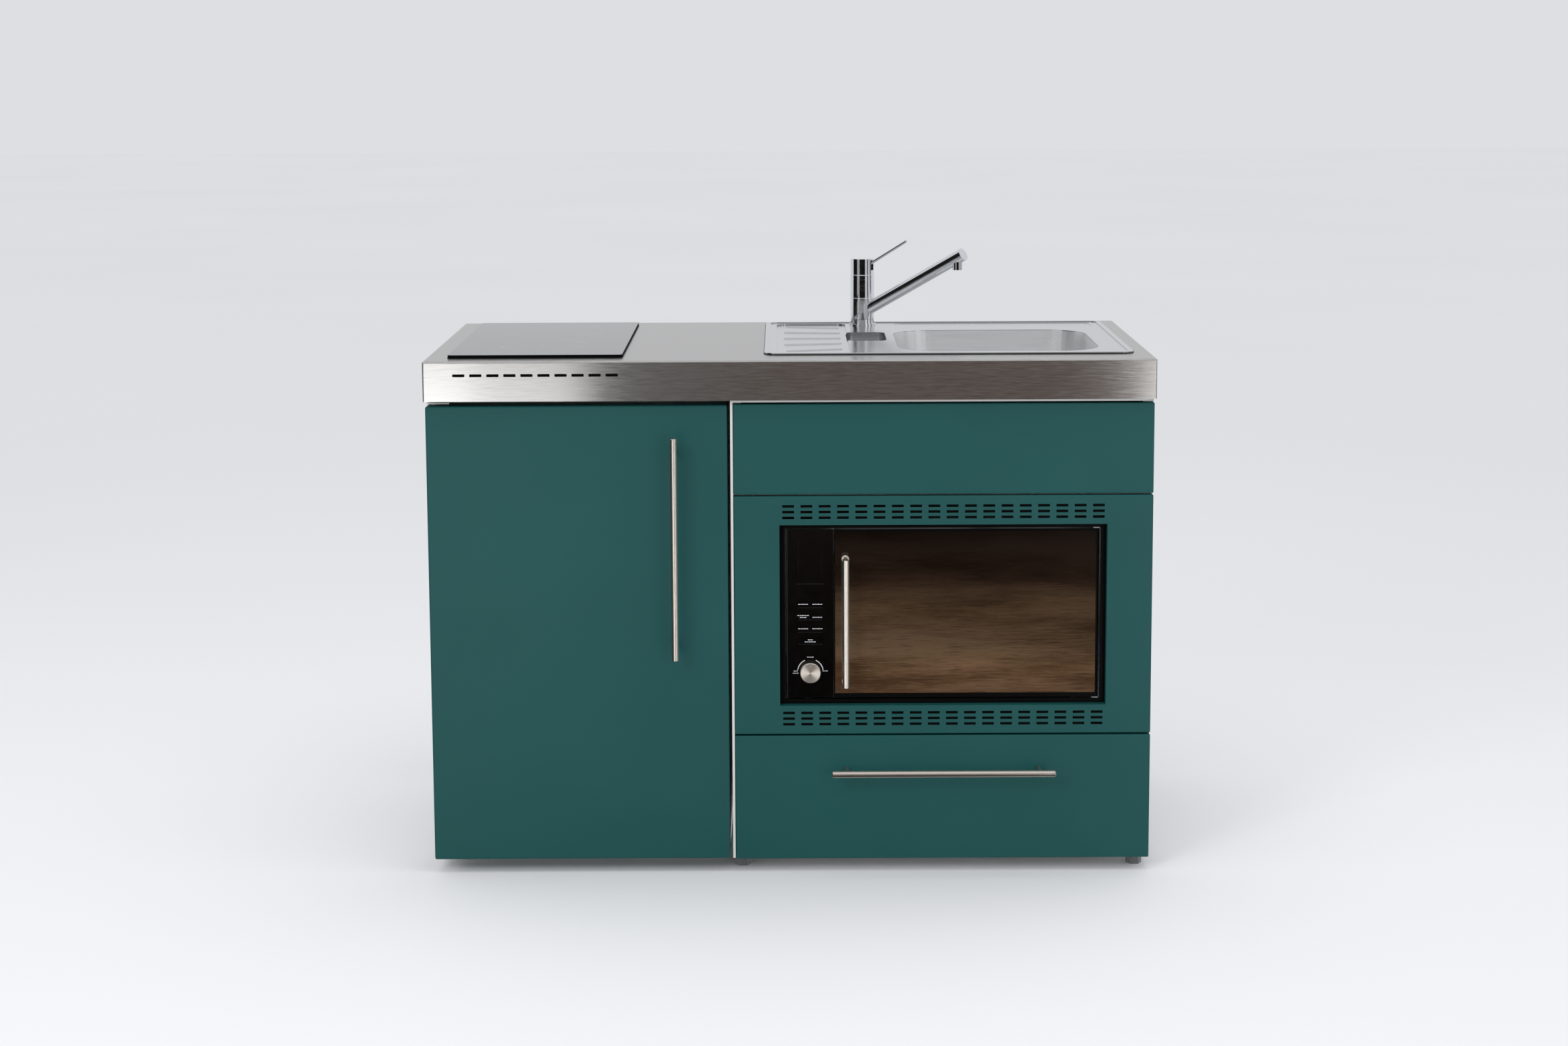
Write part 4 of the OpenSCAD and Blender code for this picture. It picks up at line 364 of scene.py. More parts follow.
# Steel screws, zinc plated
zinc = common("steel_zinc_plated", "#a7a9aa", "#c1c3c3", 0.3, 1.5, 0.004, 8, Metallic=1.0)

finishes = {
    steel_sheet: ["worktop"], steel_pressed: ["sink"], steel_bar_upright: ["fridge_handle"],
    steel_bar_level: ["drawer_handle"], oven_bar: ["microwave_handle"],
    chrome: ["tap_body", "spout", "tap_cap", "lever_pin", "sink_waste", "waste_strainer"],
    galvanised: ["worktop_rails", "microwave_shelf", "hob_tray", "microwave_casing", "runner_outer",
                 "runner_middle", "runner_inner"],
    teal: ["fridge_door_panel", "sink_front", "microwave_surround", "drawer_front"],
    carcass: ["cabinet_shell"], drawer_grey: ["drawer_box"],
    enamel: ["fridge_shell", "fridge_hinges", "microwave_cavity"],
    hob_black: ["hob_glass"], fibre: ["hob_heaters"],
    black_gloss: ["control_panel", "button_left_top", "button_right_top", "button_left_middle",
                  "button_right_middle", "button_left_bottom", "button_right_bottom", "button_start"],
    black_satin: ["cooling_fan", "microwave_trim", "microwave_door"],
    door_glass_streaks: ["microwave_door_glass"], turned: ["microwave_knob"],
    feet_plastic: ["levelling_feet"], pipe_white: ["waste_pipes"], foam: ["fridge_insulation"],
    liner: ["fridge_liner", "fridge_door_liner", "thermostat_housing", "icebox_flap"],
    dial_white: ["thermostat_dial"], gasket_grey: ["door_gasket"], clear: ["crisper", "door_racks"],
    shelf_glass: ["fridge_shelves"], icebox_metal: ["icebox"], dip_black: ["compressor", "condenser"],
    electrics: ["microwave_electrics"], plate_glass: ["turntable_plate"], roller_grey: ["roller_ring"],
}
for material, names in finishes.items():
    for name in names:
        slots = nodes[name].data.materials
        slots.clear()
        slots.append(material)


# ---------------------------------------------------------------- Making pieces

UP, LEFT, RIGHT, TO_FRONT, TO_BACK = (0, 0, 1), (-1, 0, 0), (1, 0, 0), (0, -1, 0), (0, 1, 0)


def make_piece(name, bm, material, body, smooth_angle=35):
    """Turns a bmesh into a piece that rides on a body, with the given material."""
    bmesh.ops.remove_doubles(bm, verts=bm.verts, dist=1e-6)
    bmesh.ops.recalc_face_normals(bm, faces=bm.faces)
    mesh = bpy.data.meshes.new(name)
    bm.to_mesh(mesh)
    bm.free()
    mesh.materials.append(material)
    mesh.shade_smooth()
    mesh.set_sharp_from_angle(angle=math.radians(smooth_angle))
    piece = bpy.data.objects.new(name, mesh)
    bpy.context.scene.collection.objects.link(piece)
    piece.modifiers.new("even_shading", "WEIGHTED_NORMAL").keep_sharp = True
    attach(piece, body)
    return piece


def block(bm, low, high, edge_mm=0.0, segments=2):
    """A box between two corners, with its edges rounded."""
    before = set(bm.verts)
    made = bmesh.ops.create_cube(bm, size=1)["verts"]
    bmesh.ops.scale(bm, vec=high - low, verts=made)
    bmesh.ops.translate(bm, vec=(low + high) / 2, verts=made)
    if edge_mm:
        edges = {e for v in made for e in v.link_edges}
        bmesh.ops.bevel(bm, geom=list(edges), offset=edge_mm * MM, segments=segments, profile=0.5,
                        affect="EDGES", material=-1)
    return [v for v in bm.verts if v not in before]


def span(bm, x, depth, z, edge_mm=0.0, segments=2):
    """A block from pairs of millimetres: across, back from the worktop's front edge, and up."""
    return block(bm, at(x[0], depth[0], z[0]), at(x[1], depth[1], z[1]), edge_mm, segments)


def verts_in(geom):
    """The vertices among what an operator made."""
    return [g for g in geom if isinstance(g, bmesh.types.BMVert)]


def turn_towards(axis):
    """The turn that takes straight up to the given axis."""
    return Vector((0, 0, 1)).rotation_difference(Vector(axis)).to_matrix().to_4x4()


def lathe(bm, profile, centre, axis=UP, steps=48, angle=360, start=0):
    """Spins a profile of (radius, height) points, in millimetres, about an axis through centre."""
    before = set(bm.verts)
    verts = [bm.verts.new((r * MM, 0, h * MM)) for r, h in profile]
    edges = [bm.edges.new(pair) for pair in zip(verts, verts[1:])]
    bmesh.ops.rotate(bm, verts=verts, cent=(0, 0, 0), matrix=Matrix.Rotation(math.radians(start), 3, "Z"))
    full = angle == 360
    bmesh.ops.spin(bm, geom=verts + edges, cent=(0, 0, 0), axis=(0, 0, 1), angle=math.radians(angle),
                   steps=steps, use_merge=full, use_duplicate=False)
    made = [v for v in bm.verts if v not in before]
    bmesh.ops.transform(bm, matrix=Matrix.Translation(centre) @ turn_towards(axis), verts=made)
    return made


def ring_arc(bm, radius, width, thick, centre, axis, start=0, angle=360, steps=24):
    """A flat ring, or a part of one that is closed at its ends."""
    half = width / 2
    loop = [(radius - half, 0), (radius + half, 0), (radius + half, thick), (radius - half, thick)]
    made = lathe(bm, loop + loop[:1], centre, axis, steps, angle, start)
    bmesh.ops.remove_doubles(bm, verts=made, dist=1e-7)
    ends = [e for e in bm.edges if e.is_boundary]
    bmesh.ops.holes_fill(bm, edges=ends, sides=4)


def frame_bead(bm, low, high, bead_w, corner, z_low, z_high):
    """A bead that runs round a rounded rectangle, outside it. It needs an empty bmesh."""
    verts = bmesh.ops.create_grid(bm, x_segments=1, y_segments=1, size=0.5)["verts"]
    size = (high.x - low.x + 2 * bead_w * MM, high.y - low.y + 2 * bead_w * MM, 1)
    bmesh.ops.scale(bm, vec=size, verts=verts)
    bmesh.ops.translate(bm, vec=((low.x + high.x) / 2, (low.y + high.y) / 2, z_low), verts=verts)
    bmesh.ops.bevel(bm, geom=verts, offset=(corner + bead_w) * MM, segments=6, profile=0.5,
                    affect="VERTICES", material=-1)
    sheet = max(bm.faces, key=lambda f: f.calc_area())
    rim = bmesh.ops.inset_region(bm, faces=[sheet], thickness=bead_w * MM, depth=0, use_boundary=True,
                                 use_even_offset=True)["faces"]
    bmesh.ops.delete(bm, geom=[sheet], context="FACES")
    top = bmesh.ops.extrude_face_region(bm, geom=rim)["geom"]
    bmesh.ops.translate(bm, vec=(0, 0, z_high - z_low), verts=verts_in(top))


def upright_bead(bm, x, z, bead_w, corner, depth):
    """The same bead on an upright face, from pairs of millimetres. It needs an empty bmesh."""
    low, high = Vector((x[0], z[0], 0)) * MM, Vector((x[1], z[1], 0)) * MM
    near, far = (FRONT_Y + d * MM for d in depth)
    frame_bead(bm, low, high, bead_w, corner, -far, -near)
    bmesh.ops.rotate(bm, verts=bm.verts, cent=(0, 0, 0), matrix=Matrix.Rotation(math.radians(90), 3, "X"))


def run_across(bm, outline, x_low, x_high):
    """Runs an outline of (depth, height) points across from one X to another."""
    face = bm.faces.new([bm.verts.new(at(x_low, depth, z)) for depth, z in outline])
    made = bmesh.ops.extrude_face_region(bm, geom=[face])["geom"]
    bmesh.ops.translate(bm, vec=((x_high - x_low) * MM, 0, 0), verts=verts_in(made))


def bent_path(corners, radius):
    """The points of a path of straight runs, with its corners rounded off."""
    points = [corners[0]]
    for before, corner, after in zip(corners, corners[1:], corners[2:]):
        start = corner + (before - corner).normalized() * radius * MM
        end = corner + (after - corner).normalized() * radius * MM
        points += interpolate_bezier(start, start.lerp(corner, 0.55), end.lerp(corner, 0.55), end, 7)
    return points + [corners[-1]]


def tube(bm, points, radius, sides=12):
    """A round tube along a path of points."""
    rings = []
    for i, point in enumerate(points):
        along = points[min(i + 1, len(points) - 1)] - points[max(i - 1, 0)]
        turn = along.to_track_quat("Z", "Y").to_matrix().to_4x4()
        ring = bmesh.ops.create_circle(
            bm, cap_ends=i in (0, len(points) - 1), segments=sides, radius=radius * MM,
            matrix=Matrix.Translation(point) @ turn)["verts"]
        rings.append([e for e in {e for v in ring for e in v.link_edges} if set(e.verts) <= set(ring)])
    for ring, following in zip(rings, rings[1:]):
        bmesh.ops.bridge_loops(bm, edges=ring + following)


def screw(bm, place, axis, radius=4.0):
    """A pan head screw with a dimple for the driver."""
    profile = [(0, 0.2), (0.38, 0.5), (0.5, 0.62), (0.8, 0.5), (1, 0.2), (1, 0), (0, 0)]
    lathe(bm, [(r * radius, h * radius) for r, h in profile], place, axis, 16)


# ---------------------------------------------------------------- Hob and sink

# Thickness of a printed mark
PRINT = 0.05


def printed_bars(bm, middle, sizes):
    """Flat printed bars on a level face, each of a width and a depth, about one middle."""
    for size_x, size_y in sizes:
        half = Vector((size_x, size_y, 0)) / 2 * MM
        block(bm, middle - half, middle + half + Vector((0, 0, PRINT * MM)))


# The sealing bead round the hob
HOB_BEAD_W, HOB_BEAD_H, HOB_CORNER = 0.9, 1.1, 8
bm = bmesh.new()
frame_bead(bm, hob_low, hob_high, HOB_BEAD_W, HOB_CORNER, hob_low.z, hob_low.z + HOB_BEAD_H * MM)
make_piece("hob_sealing_bead", bm, silicone, "unit")

# Cooking zones, from the depth of each middle and its radius: printed arcs, and a small cross in the middle
ZONES = ((405, 93), (190, 74))
ARC_STARTS, ARC_TURN, ARC_W = (20, 110, 200, 290), 50, 1.4
CROSS_L, CROSS_W = 9, 1.2
zone_x = (hob_low.x + hob_high.x) / 2 / MM
hob_top = hob_high.z / MM
bm = bmesh.new()
for depth, radius in ZONES:
    middle = at(zone_x, depth, hob_top)
    for start in ARC_STARTS:
        ring_arc(bm, radius, ARC_W, PRINT, middle, UP, start, ARC_TURN)
    printed_bars(bm, middle, ((CROSS_L, CROSS_W), (CROSS_W, CROSS_L)))
make_piece("hob_zone_marks", bm, frit, "unit")

# Touch marks along the hob's front: a ring at each end, and plus and minus signs between them
TOUCH_PITCH, TOUCH_DEPTH = 22, 79
TOUCH_R, TOUCH_W = 4.2, 0.9
MINUS = ((5.5, 1.0),)
PLUS = ((5.5, 1.0), (1.0, 5.5))
bm = bmesh.new()
for step in range(-3, 4):
    middle = at(zone_x + TOUCH_PITCH * step, TOUCH_DEPTH, hob_top)
    if step in (-3, 3):
        ring_arc(bm, TOUCH_R, TOUCH_W, PRINT, middle, UP)
    else:
        printed_bars(bm, middle, PLUS if step in (-1, 2) else MINUS)
make_piece("hob_touch_marks", bm, frit, "unit")

# The sealing bead round the sink. Its size is set so that its black also gives the dark line under the rim's
# front edge: painted shade
SINK_BEAD_W, SINK_BEAD_H, SINK_CORNER = 1.2, 1.7, 22
worktop_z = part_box("worktop")[1].z
bm = bmesh.new()
frame_bead(bm, sink_low, sink_high, SINK_BEAD_W, SINK_CORNER, worktop_z, worktop_z + SINK_BEAD_H * MM)
make_piece("sink_sealing_bead", bm, silicone, "unit")

# A strip of black fleece behind the apron's air slots: painted shade, a dark sheet that makes the slots read
# dark
SLOT_SHADE_X, SLOT_SHADE_DEPTH, SLOT_SHADE_Z = (-565, -275), (1.8, 3.2), (834, 850)
bm = bmesh.new()
span(bm, SLOT_SHADE_X, SLOT_SHADE_DEPTH, SLOT_SHADE_Z, 0.3)
make_piece("apron_slot_shade", bm, fleece, "unit")

# A strip of black foam under the cabinet's top rail, which closes the gap above the sink front
SEAL_X, SEAL_TOP = (-92, 592), 796.7
SEAL_T, SEAL_LAP, SEAL_GAP = 8, 11, 0.2
front_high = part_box("sink_front")[1]
seal_depth = depth_of(front_high.y) + SEAL_GAP
bm = bmesh.new()
span(bm, SEAL_X, (seal_depth, seal_depth + SEAL_T), (front_high.z / MM - SEAL_LAP, SEAL_TOP), 0.5)
make_piece("front_seal", bm, fleece, "unit")

# Bright rounded rings where the tap's turning parts meet
TAP_X, TAP_DEPTH, TAP_R = 134, 525, 22.0
RING_BORE, RING_SEAT, RING_BULGE, RING_HALF_H = TAP_R - 3, TAP_R - 1.5, 1.9, 1.1
LOWER_RING_Z, RING_GAP = 917.15, 0.15
angles = [math.radians(-90 + 20 * step) for step in range(10)]
bead = [(RING_SEAT + RING_BULGE * math.cos(t), RING_HALF_H * math.sin(t)) for t in angles]
profile = [(RING_BORE, -RING_HALF_H)] + bead + [(RING_BORE, RING_HALF_H), (RING_BORE, -RING_HALF_H)]
for name, height in (("tap_ring_lower", LOWER_RING_Z),
                     ("tap_ring_upper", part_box("tap_cap")[0].z / MM - RING_GAP)):
    bm = bmesh.new()
    lathe(bm, profile, at(TAP_X, TAP_DEPTH, height), steps=64)
    make_piece(name, bm, chrome, "unit", 50)

# ---------------------------------------------------------------- Control panel

panel_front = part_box("control_panel")[0].y
# Gap between the bars of a word, the bars' height, and how wide each is to the others
WORD_GAP, WORD_H = 0.7, 1.15
WORD_SHARES = (1.0, 0.7, 1.25, 0.85, 1.1)


def mark(bm, x, z, width, height, face_y):
    """A flat printed bar on an upright face, from its middle."""
    low = Vector(((x - width / 2) * MM, face_y - PRINT * MM, (z - height / 2) * MM))
    high = Vector(((x + width / 2) * MM, face_y, (z + height / 2) * MM))
    block(bm, low, high)


def word_bars(bm, x, z, total, pieces, face_y):
    """A row of short bars that stands where the panel has a word, with no letters in it."""
    shares = WORD_SHARES[:pieces]
    unit_w = (total - WORD_GAP * (pieces - 1)) / sum(shares)
    left = x - total / 2
    for share in shares:
        mark(bm, left + share * unit_w / 2, z, share * unit_w, WORD_H, face_y)
        left += share * unit_w + WORD_GAP


# The rows of bars on each button: their height above its middle, their width and their number
labels = {
    "button_left_top": [(0, 16.5, 4)], "button_right_top": [(0, 16.5, 4)],
    "button_left_middle": [(1.7, 19, 5), (-1.7, 11, 3)], "button_right_middle": [(-1.5, 16, 4)],
    "button_left_bottom": [(0, 16.5, 4)], "button_right_bottom": [(0, 17, 4)],
    "button_start": [(1.7, 8, 2), (-1.7, 18.5, 5)],
}
for name, rows_of in labels.items():
    low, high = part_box(name)
    middle_x, middle_z = (low.x + high.x) / 2 / MM, (low.z + high.z) / 2 / MM
    bm = bmesh.new()
    for rise, width, pieces in rows_of:
        word_bars(bm, middle_x, middle_z + rise, width, pieces, low.y)
    make_piece(name.replace("button", "label"), bm, white_ink, name)

# The knob's scale: an arc on either side, and bars for words above it, right of it and twice left of it
SCALE_R, SCALE_W, SCALE_TURN, SCALE_STARTS = 21.2, 1.4, 57, (115, 8)
SCALE_WORDS = ((0, 24.6, 11, 3), (-24.5, 1, 7, 2), (-24.5, -2.6, 9.5, 3), (24.6, 1, 8.5, 3))
knob_mm_x, knob_mm_z = knob_x / MM, knob_z / MM
scale_middle = Vector((knob_x, panel_front, knob_z))
bm = bmesh.new()
for start in SCALE_STARTS:
    ring_arc(bm, SCALE_R, SCALE_W, PRINT, scale_middle, TO_FRONT, start, SCALE_TURN)
for shift_x, shift_z, width, pieces in SCALE_WORDS:
    word_bars(bm, knob_mm_x + shift_x, knob_mm_z + shift_z, width, pieces, panel_front)
make_piece("knob_scale", bm, white_ink, "unit")

# Faint lines on the panel: one under each row of buttons, and one below the display
ROW_LINE_W, ROW_LINE_DROP = 40, 1.2
DISPLAY_LINE_W, DISPLAY_LINE_Z = 46, 488
FAINT_H = 0.5
bm = bmesh.new()
for name in ("button_left_top", "button_left_middle", "button_left_bottom", "button_start"):
    mark(bm, knob_mm_x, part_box(name)[0].z / MM - ROW_LINE_DROP, ROW_LINE_W, FAINT_H, panel_front)
mark(bm, knob_mm_x, DISPLAY_LINE_Z, DISPLAY_LINE_W, FAINT_H, panel_front)
make_piece("panel_faint_lines", bm, dim_ink, "unit")

# The display's window: a smoked lens let into the recess of the panel
DISPLAY_X, DISPLAY_DEPTH, DISPLAY_Z = (12.7, 52.1), (27.1, 27.75), (500.6, 564.9)
bm = bmesh.new()
span(bm, DISPLAY_X, DISPLAY_DEPTH, DISPLAY_Z, 0.2)
make_piece("display_lens", bm, black_gloss, "unit")

# ---------------------------------------------------------------- Oven surround

# Mats of black fleece behind the two vent grilles: painted shade, dark sheets that make the grilles' slots
# read dark
surround_low, surround_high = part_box("microwave_surround")
trim_low, trim_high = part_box("microwave_trim")
SURROUND_DEPTH, SHEET = 12, 1.2
VENT_SHADE_X, VENT_SHADE_T, VENT_SHADE_GAP = (-40, 545), 2.0, 0.3
TRIM_GAP, FLANGE_GAP = 2.5, 3
vent_shade_depth = SURROUND_DEPTH + SHEET + VENT_SHADE_GAP
for name, z in (("vent_shade_mat_upper", (trim_high.z / MM + TRIM_GAP, surround_high.z / MM - FLANGE_GAP)),
                ("vent_shade_mat_lower", (surround_low.z / MM + FLANGE_GAP, trim_low.z / MM - TRIM_GAP))):
    bm = bmesh.new()
    span(bm, VENT_SHADE_X, (vent_shade_depth, vent_shade_depth + VENT_SHADE_T), z, 0.4)
    make_piece(name, bm, fleece, "unit")

# ---------------------------------------------------------------- Inside the oven

# The door's inner side: a punched screen over the window, folded back at its rim, and the cover of the
# channel round it. Real holes are 1.5 mm wide and 2.5 mm apart, and are drawn coarser
door_back = depth_of(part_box("microwave_door")[1].y)
HOLE_PITCH, HOLE_EDGE, HOLE_CORNER = 6.0, 1.05, 1.2
COLUMNS, ROWS = 55, 34
SCREEN_RIM, SCREEN_FOLD, SCREEN_T, SCREEN_SINK = 9.0, 15.0, 0.5, 2
WINDOW_X, WINDOW_Z = 285.4, 437.75
screen_half = Vector((COLUMNS, ROWS)) * HOLE_PITCH / 2
bm = bmesh.new()
bmesh.ops.create_grid(bm, x_segments=COLUMNS, y_segments=ROWS, size=0.5)
bmesh.ops.scale(bm, vec=(screen_half.x * 2 * MM, screen_half.y * 2 * MM, 1), verts=bm.verts)
bmesh.ops.inset_individual(bm, faces=bm.faces[:], thickness=HOLE_EDGE * MM)
inner = [v for v in bm.verts if len(v.link_edges) == 3 and not v.is_boundary]
bmesh.ops.bevel(bm, geom=inner, offset=HOLE_CORNER * MM, segments=1, profile=0.5, affect="VERTICES",
                material=-1)
bmesh.ops.delete(bm, geom=[f for f in bm.faces if len(f.verts) == 8], context="FACES_ONLY")
edge_x, edge_y = (screen_half - Vector((0.01, 0.01))) * MM
rim = [e for e in bm.edges if e.is_boundary and (
    all(abs(v.co.x) > edge_x for v in e.verts) or all(abs(v.co.y) > edge_y for v in e.verts))]
made = bmesh.ops.extrude_edge_only(bm, edges=rim)["geom"]
widened = (1 + SCREEN_RIM / screen_half.x, 1 + SCREEN_RIM / screen_half.y, 1)
bmesh.ops.scale(bm, vec=widened, verts=verts_in(made))
outer_edges = [g for g in made if isinstance(g, bmesh.types.BMEdge) and g.is_boundary]
made = bmesh.ops.extrude_edge_only(bm, edges=outer_edges)["geom"]
bmesh.ops.translate(bm, vec=(0, 0, SCREEN_FOLD * MM), verts=verts_in(made))
stand_up = Matrix.Rotation(math.radians(90), 4, "X")
screen_place = Matrix.Translation(at(WINDOW_X, door_back - SCREEN_SINK, WINDOW_Z))
bmesh.ops.transform(bm, matrix=screen_place @ stand_up, verts=bm.verts)
screen = make_piece("door_screen", bm, punched, "microwave_door")
solid = screen.modifiers.new("sheet", "SOLIDIFY")
solid.thickness = SCREEN_T * MM

CHOKE_GAP, CHOKE_W, CHOKE_CORNER = 0.8, 7.5, 5
choke_x = screen_half.x + SCREEN_RIM + CHOKE_GAP
choke_z = screen_half.y + SCREEN_RIM + CHOKE_GAP
bm = bmesh.new()
upright_bead(bm, (WINDOW_X - choke_x, WINDOW_X + choke_x), (WINDOW_Z - choke_z, WINDOW_Z + choke_z),
             CHOKE_W, CHOKE_CORNER, (door_back - 9, door_back - 3))
make_piece("choke_cover", bm, black_satin, "microwave_door")

# The cavity's mica window over the waveguide, with a screw at either end
CAVITY_LEFT, CAVITY_RIGHT = 105.4, 465.4
MICA_DEPTH, MICA_Z, MICA_T, MICA_SCREW_IN = (150, 240), (395, 468), 0.7, 6
mica_face = CAVITY_LEFT + MICA_T
bm = bmesh.new()
span(bm, (CAVITY_LEFT, mica_face), MICA_DEPTH, MICA_Z, 0.25)
make_piece("mica_window", bm, mica, "unit")
bm = bmesh.new()
for depth in (MICA_DEPTH[0] + MICA_SCREW_IN, MICA_DEPTH[1] - MICA_SCREW_IN):
    screw(bm, at(mica_face, depth, sum(MICA_Z) / 2), RIGHT, 3)
make_piece("mica_screws", bm, zinc, "unit")

# The vents of the cavity's lamp and its air, in its two side walls, drawn as flat black discs where the
# holes are: their black is painted shade for the dark behind the holes
VENT_DEPTH, VENT_Z, VENT_PITCH = 290, 480, 6
VENT_R, VENT_H = 1.9, 0.08
bm = bmesh.new()
for wall, inward, columns, rows in ((CAVITY_LEFT, RIGHT, 6, 9), (CAVITY_RIGHT, LEFT, 12, 5)):
    for column in range(columns):
        for row in range(rows):
            place = at(wall, VENT_DEPTH + VENT_PITCH * column, VENT_Z + VENT_PITCH * row)
            lathe(bm, [(0, VENT_H), (VENT_R, VENT_H), (VENT_R, 0)], place, inward, 10)
make_piece("cavity_vent_shade_discs", bm, fleece, "unit")

# ---------------------------------------------------------------- Inside the refrigerator

# The upper hinge bracket's screws: two in its leg, and one in its plate
LEG_SCREW_DROPS, LEG_SCREW_IN, LEG_SCREW_DEPTH = (22, 38), 5.5, 66
PLATE_SCREW_IN, PLATE_SCREW_DEPTH = 12, 37
hinge_left, hinge_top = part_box("fridge_hinges")[0].x / MM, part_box("fridge_hinges")[1].z / MM
bm = bmesh.new()
for drop in LEG_SCREW_DROPS:
    screw(bm, at(hinge_left + LEG_SCREW_IN, LEG_SCREW_DEPTH, hinge_top - drop), TO_FRONT, 3)
screw(bm, at(hinge_left + PLATE_SCREW_IN, PLATE_SCREW_DEPTH, hinge_top), UP, 5)
make_piece("hinge_screws", bm, zinc, "unit")

# White trims clipped on the front and back edges of the glass shelves
shelf_low, shelf_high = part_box("fridge_shelves")
shelf_x = (shelf_low.x / MM + 0.5, shelf_high.x / MM - 0.5)
SHELF_T, TRIM_T = 4.0, 1.5
FRONT_UPSTAND, BACK_UPSTAND = 2.4, 9.0
bm = bmesh.new()
for z in (shelf_low.z / MM, shelf_high.z / MM - SHELF_T):
    for edge, inward, upstand in ((depth_of(shelf_low.y), 1, FRONT_UPSTAND),
                                  (depth_of(shelf_high.y), -1, BACK_UPSTAND)):
        low, high = z - 0.1, z + SHELF_T + 0.1
        outer, over = edge - inward * 2.4, edge + inward * 2.5
        run_across(bm, [(over, low - TRIM_T), (outer + inward, low - TRIM_T), (outer, low - TRIM_T + 1),
                        (outer, high + upstand - 0.8), (outer + inward * 0.7, high + upstand),
                        (outer + inward * 1.7, high + upstand), (outer + inward * 2.3, high + upstand - 0.8),
                        (outer + inward * 2.3, high + TRIM_T), (over, high + TRIM_T), (over, high),
                        (edge - inward * 0.1, high), (edge - inward * 0.1, low), (over, low)], *shelf_x)
make_piece("shelf_trims", bm, dial_white, "unit")

# The crisper's rolled rim, and the hooked grip on its front
RIM_W, RIM_CORNER, RIM_DROP, RIM_RISE = 2.0, 2, 3.5, 0.4
GRIP_HALF_W, GRIP_DROP = 60, 5
crisper_low, crisper_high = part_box("crisper")
bm = bmesh.new()
frame_bead(bm, crisper_low, crisper_high, RIM_W, RIM_CORNER, crisper_high.z - RIM_DROP * MM,
           crisper_high.z + RIM_RISE * MM)
make_piece("crisper_rim", bm, clear, "unit")
grip_z = crisper_high.z / MM - GRIP_DROP
grip_front = depth_of(crisper_low.y)
crisper_x = (crisper_low.x + crisper_high.x) / 2 / MM
bm = bmesh.new()
run_across(bm, [(grip_front, grip_z), (grip_front - 9, grip_z), (grip_front - 10.5, grip_z - 1.5),
                (grip_front - 10.5, grip_z - 12), (grip_front - 8.8, grip_z - 12),
                (grip_front - 8.8, grip_z - 3.5), (grip_front - 7.5, grip_z - 2.1),
                (grip_front, grip_z - 2.1)], crisper_x - GRIP_HALF_W, crisper_x + GRIP_HALF_W)
make_piece("crisper_grip", bm, clear, "unit")

# Door racks, from the height of each floor and how tall it is: a white rail on each front edge, and ribs
# down the front
RACKS = ((82, 90), (290, 60), (458, 60))
RAIL_IN = 14
RIB_PITCH, RIB_HALF_W, RIB_T = 27, 1, 1.2
RIB_TOP, RIB_BOTTOM = 11, 8
rack_low, rack_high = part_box("door_racks")
rack_front = depth_of(rack_high.y)
rack_x = (rack_low.x / MM + RAIL_IN, rack_high.x / MM - RAIL_IN)
rails, ribs = bmesh.new(), bmesh.new()
for z, tall in RACKS:
    top = z + tall
    run_across(rails, [(rack_front, top - 8), (rack_front + 2, top - 7), (rack_front + 2, top - 0.6),
                       (rack_front + 1.2, top + 0.6), (rack_front - 2.6, top + 0.6), (rack_front - 2.6, top),
                       (rack_front, top)], *rack_x)
    for i in range(-6, 7):
        x = (rack_x[0] + rack_x[1]) / 2 + RIB_PITCH * i
        span(ribs, (x - RIB_HALF_W, x + RIB_HALF_W), (rack_front, rack_front + RIB_T),
             (z + RIB_BOTTOM, top - RIB_TOP), 0.4)
make_piece("rack_rails", rails, dial_white, "fridge_door")
make_piece("rack_ribs", ribs, clear, "fridge_door")

# The lamp's lens, with ribs across it
LENS_DEPTH, LENS_Z, LENS_H = (254, 271), (527, 568), 5.5
LENS_RIBS, LENS_RIB_Z, LENS_RIB_W, LENS_RIB_PITCH = 7, 530.5, 2.5, 5.4
face_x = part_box("thermostat_housing")[0].x / MM
bm = bmesh.new()
span(bm, (face_x - LENS_H, face_x), LENS_DEPTH, LENS_Z, 2, 3)
for i in range(LENS_RIBS):
    z = LENS_RIB_Z + LENS_RIB_PITCH * i
    span(bm, (face_x - LENS_H - 0.8, face_x - LENS_H + 0.3), (LENS_DEPTH[0] + 2, LENS_DEPTH[1] - 2),
         (z, z + LENS_RIB_W), 0.5)
make_piece("lamp_lens", bm, clear, "unit")

# The thermostat: ticks that grow round the dial, and the pointer on the dial's grip
TICKS, TICK_START, TICK_STEP, TICK_R = 8, -120, 34, 17
TICK_L, TICK_GROWTH, TICK_HALF_W, TICK_H = 1.6, 0.35, 0.5, 0.06
POINTER_L, POINTER_HALF_W, POINTER_H, POINTER_DROP = 7, 0.6, 0.08, 4
dial_low, dial_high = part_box("thermostat_dial")
dial_middle = Vector((face_x * MM, (dial_low.y + dial_high.y) / 2, (dial_low.z + dial_high.z) / 2))
bm = bmesh.new()
for i in range(TICKS):
    low = dial_middle + Vector((-TICK_H, -TICK_HALF_W, TICK_R)) * MM
    tick = block(bm, low, low + Vector((TICK_H, 2 * TICK_HALF_W, TICK_L + TICK_GROWTH * i)) * MM)
    turn = Matrix.Rotation(math.radians(TICK_START + TICK_STEP * i), 3, "X")
    bmesh.ops.rotate(bm, verts=tick, cent=dial_middle, matrix=turn)
make_piece("thermostat_ticks", bm, electrics, "unit")
bm = bmesh.new()
tip = Vector((dial_low.x, dial_middle.y, dial_high.z - POINTER_DROP * MM))
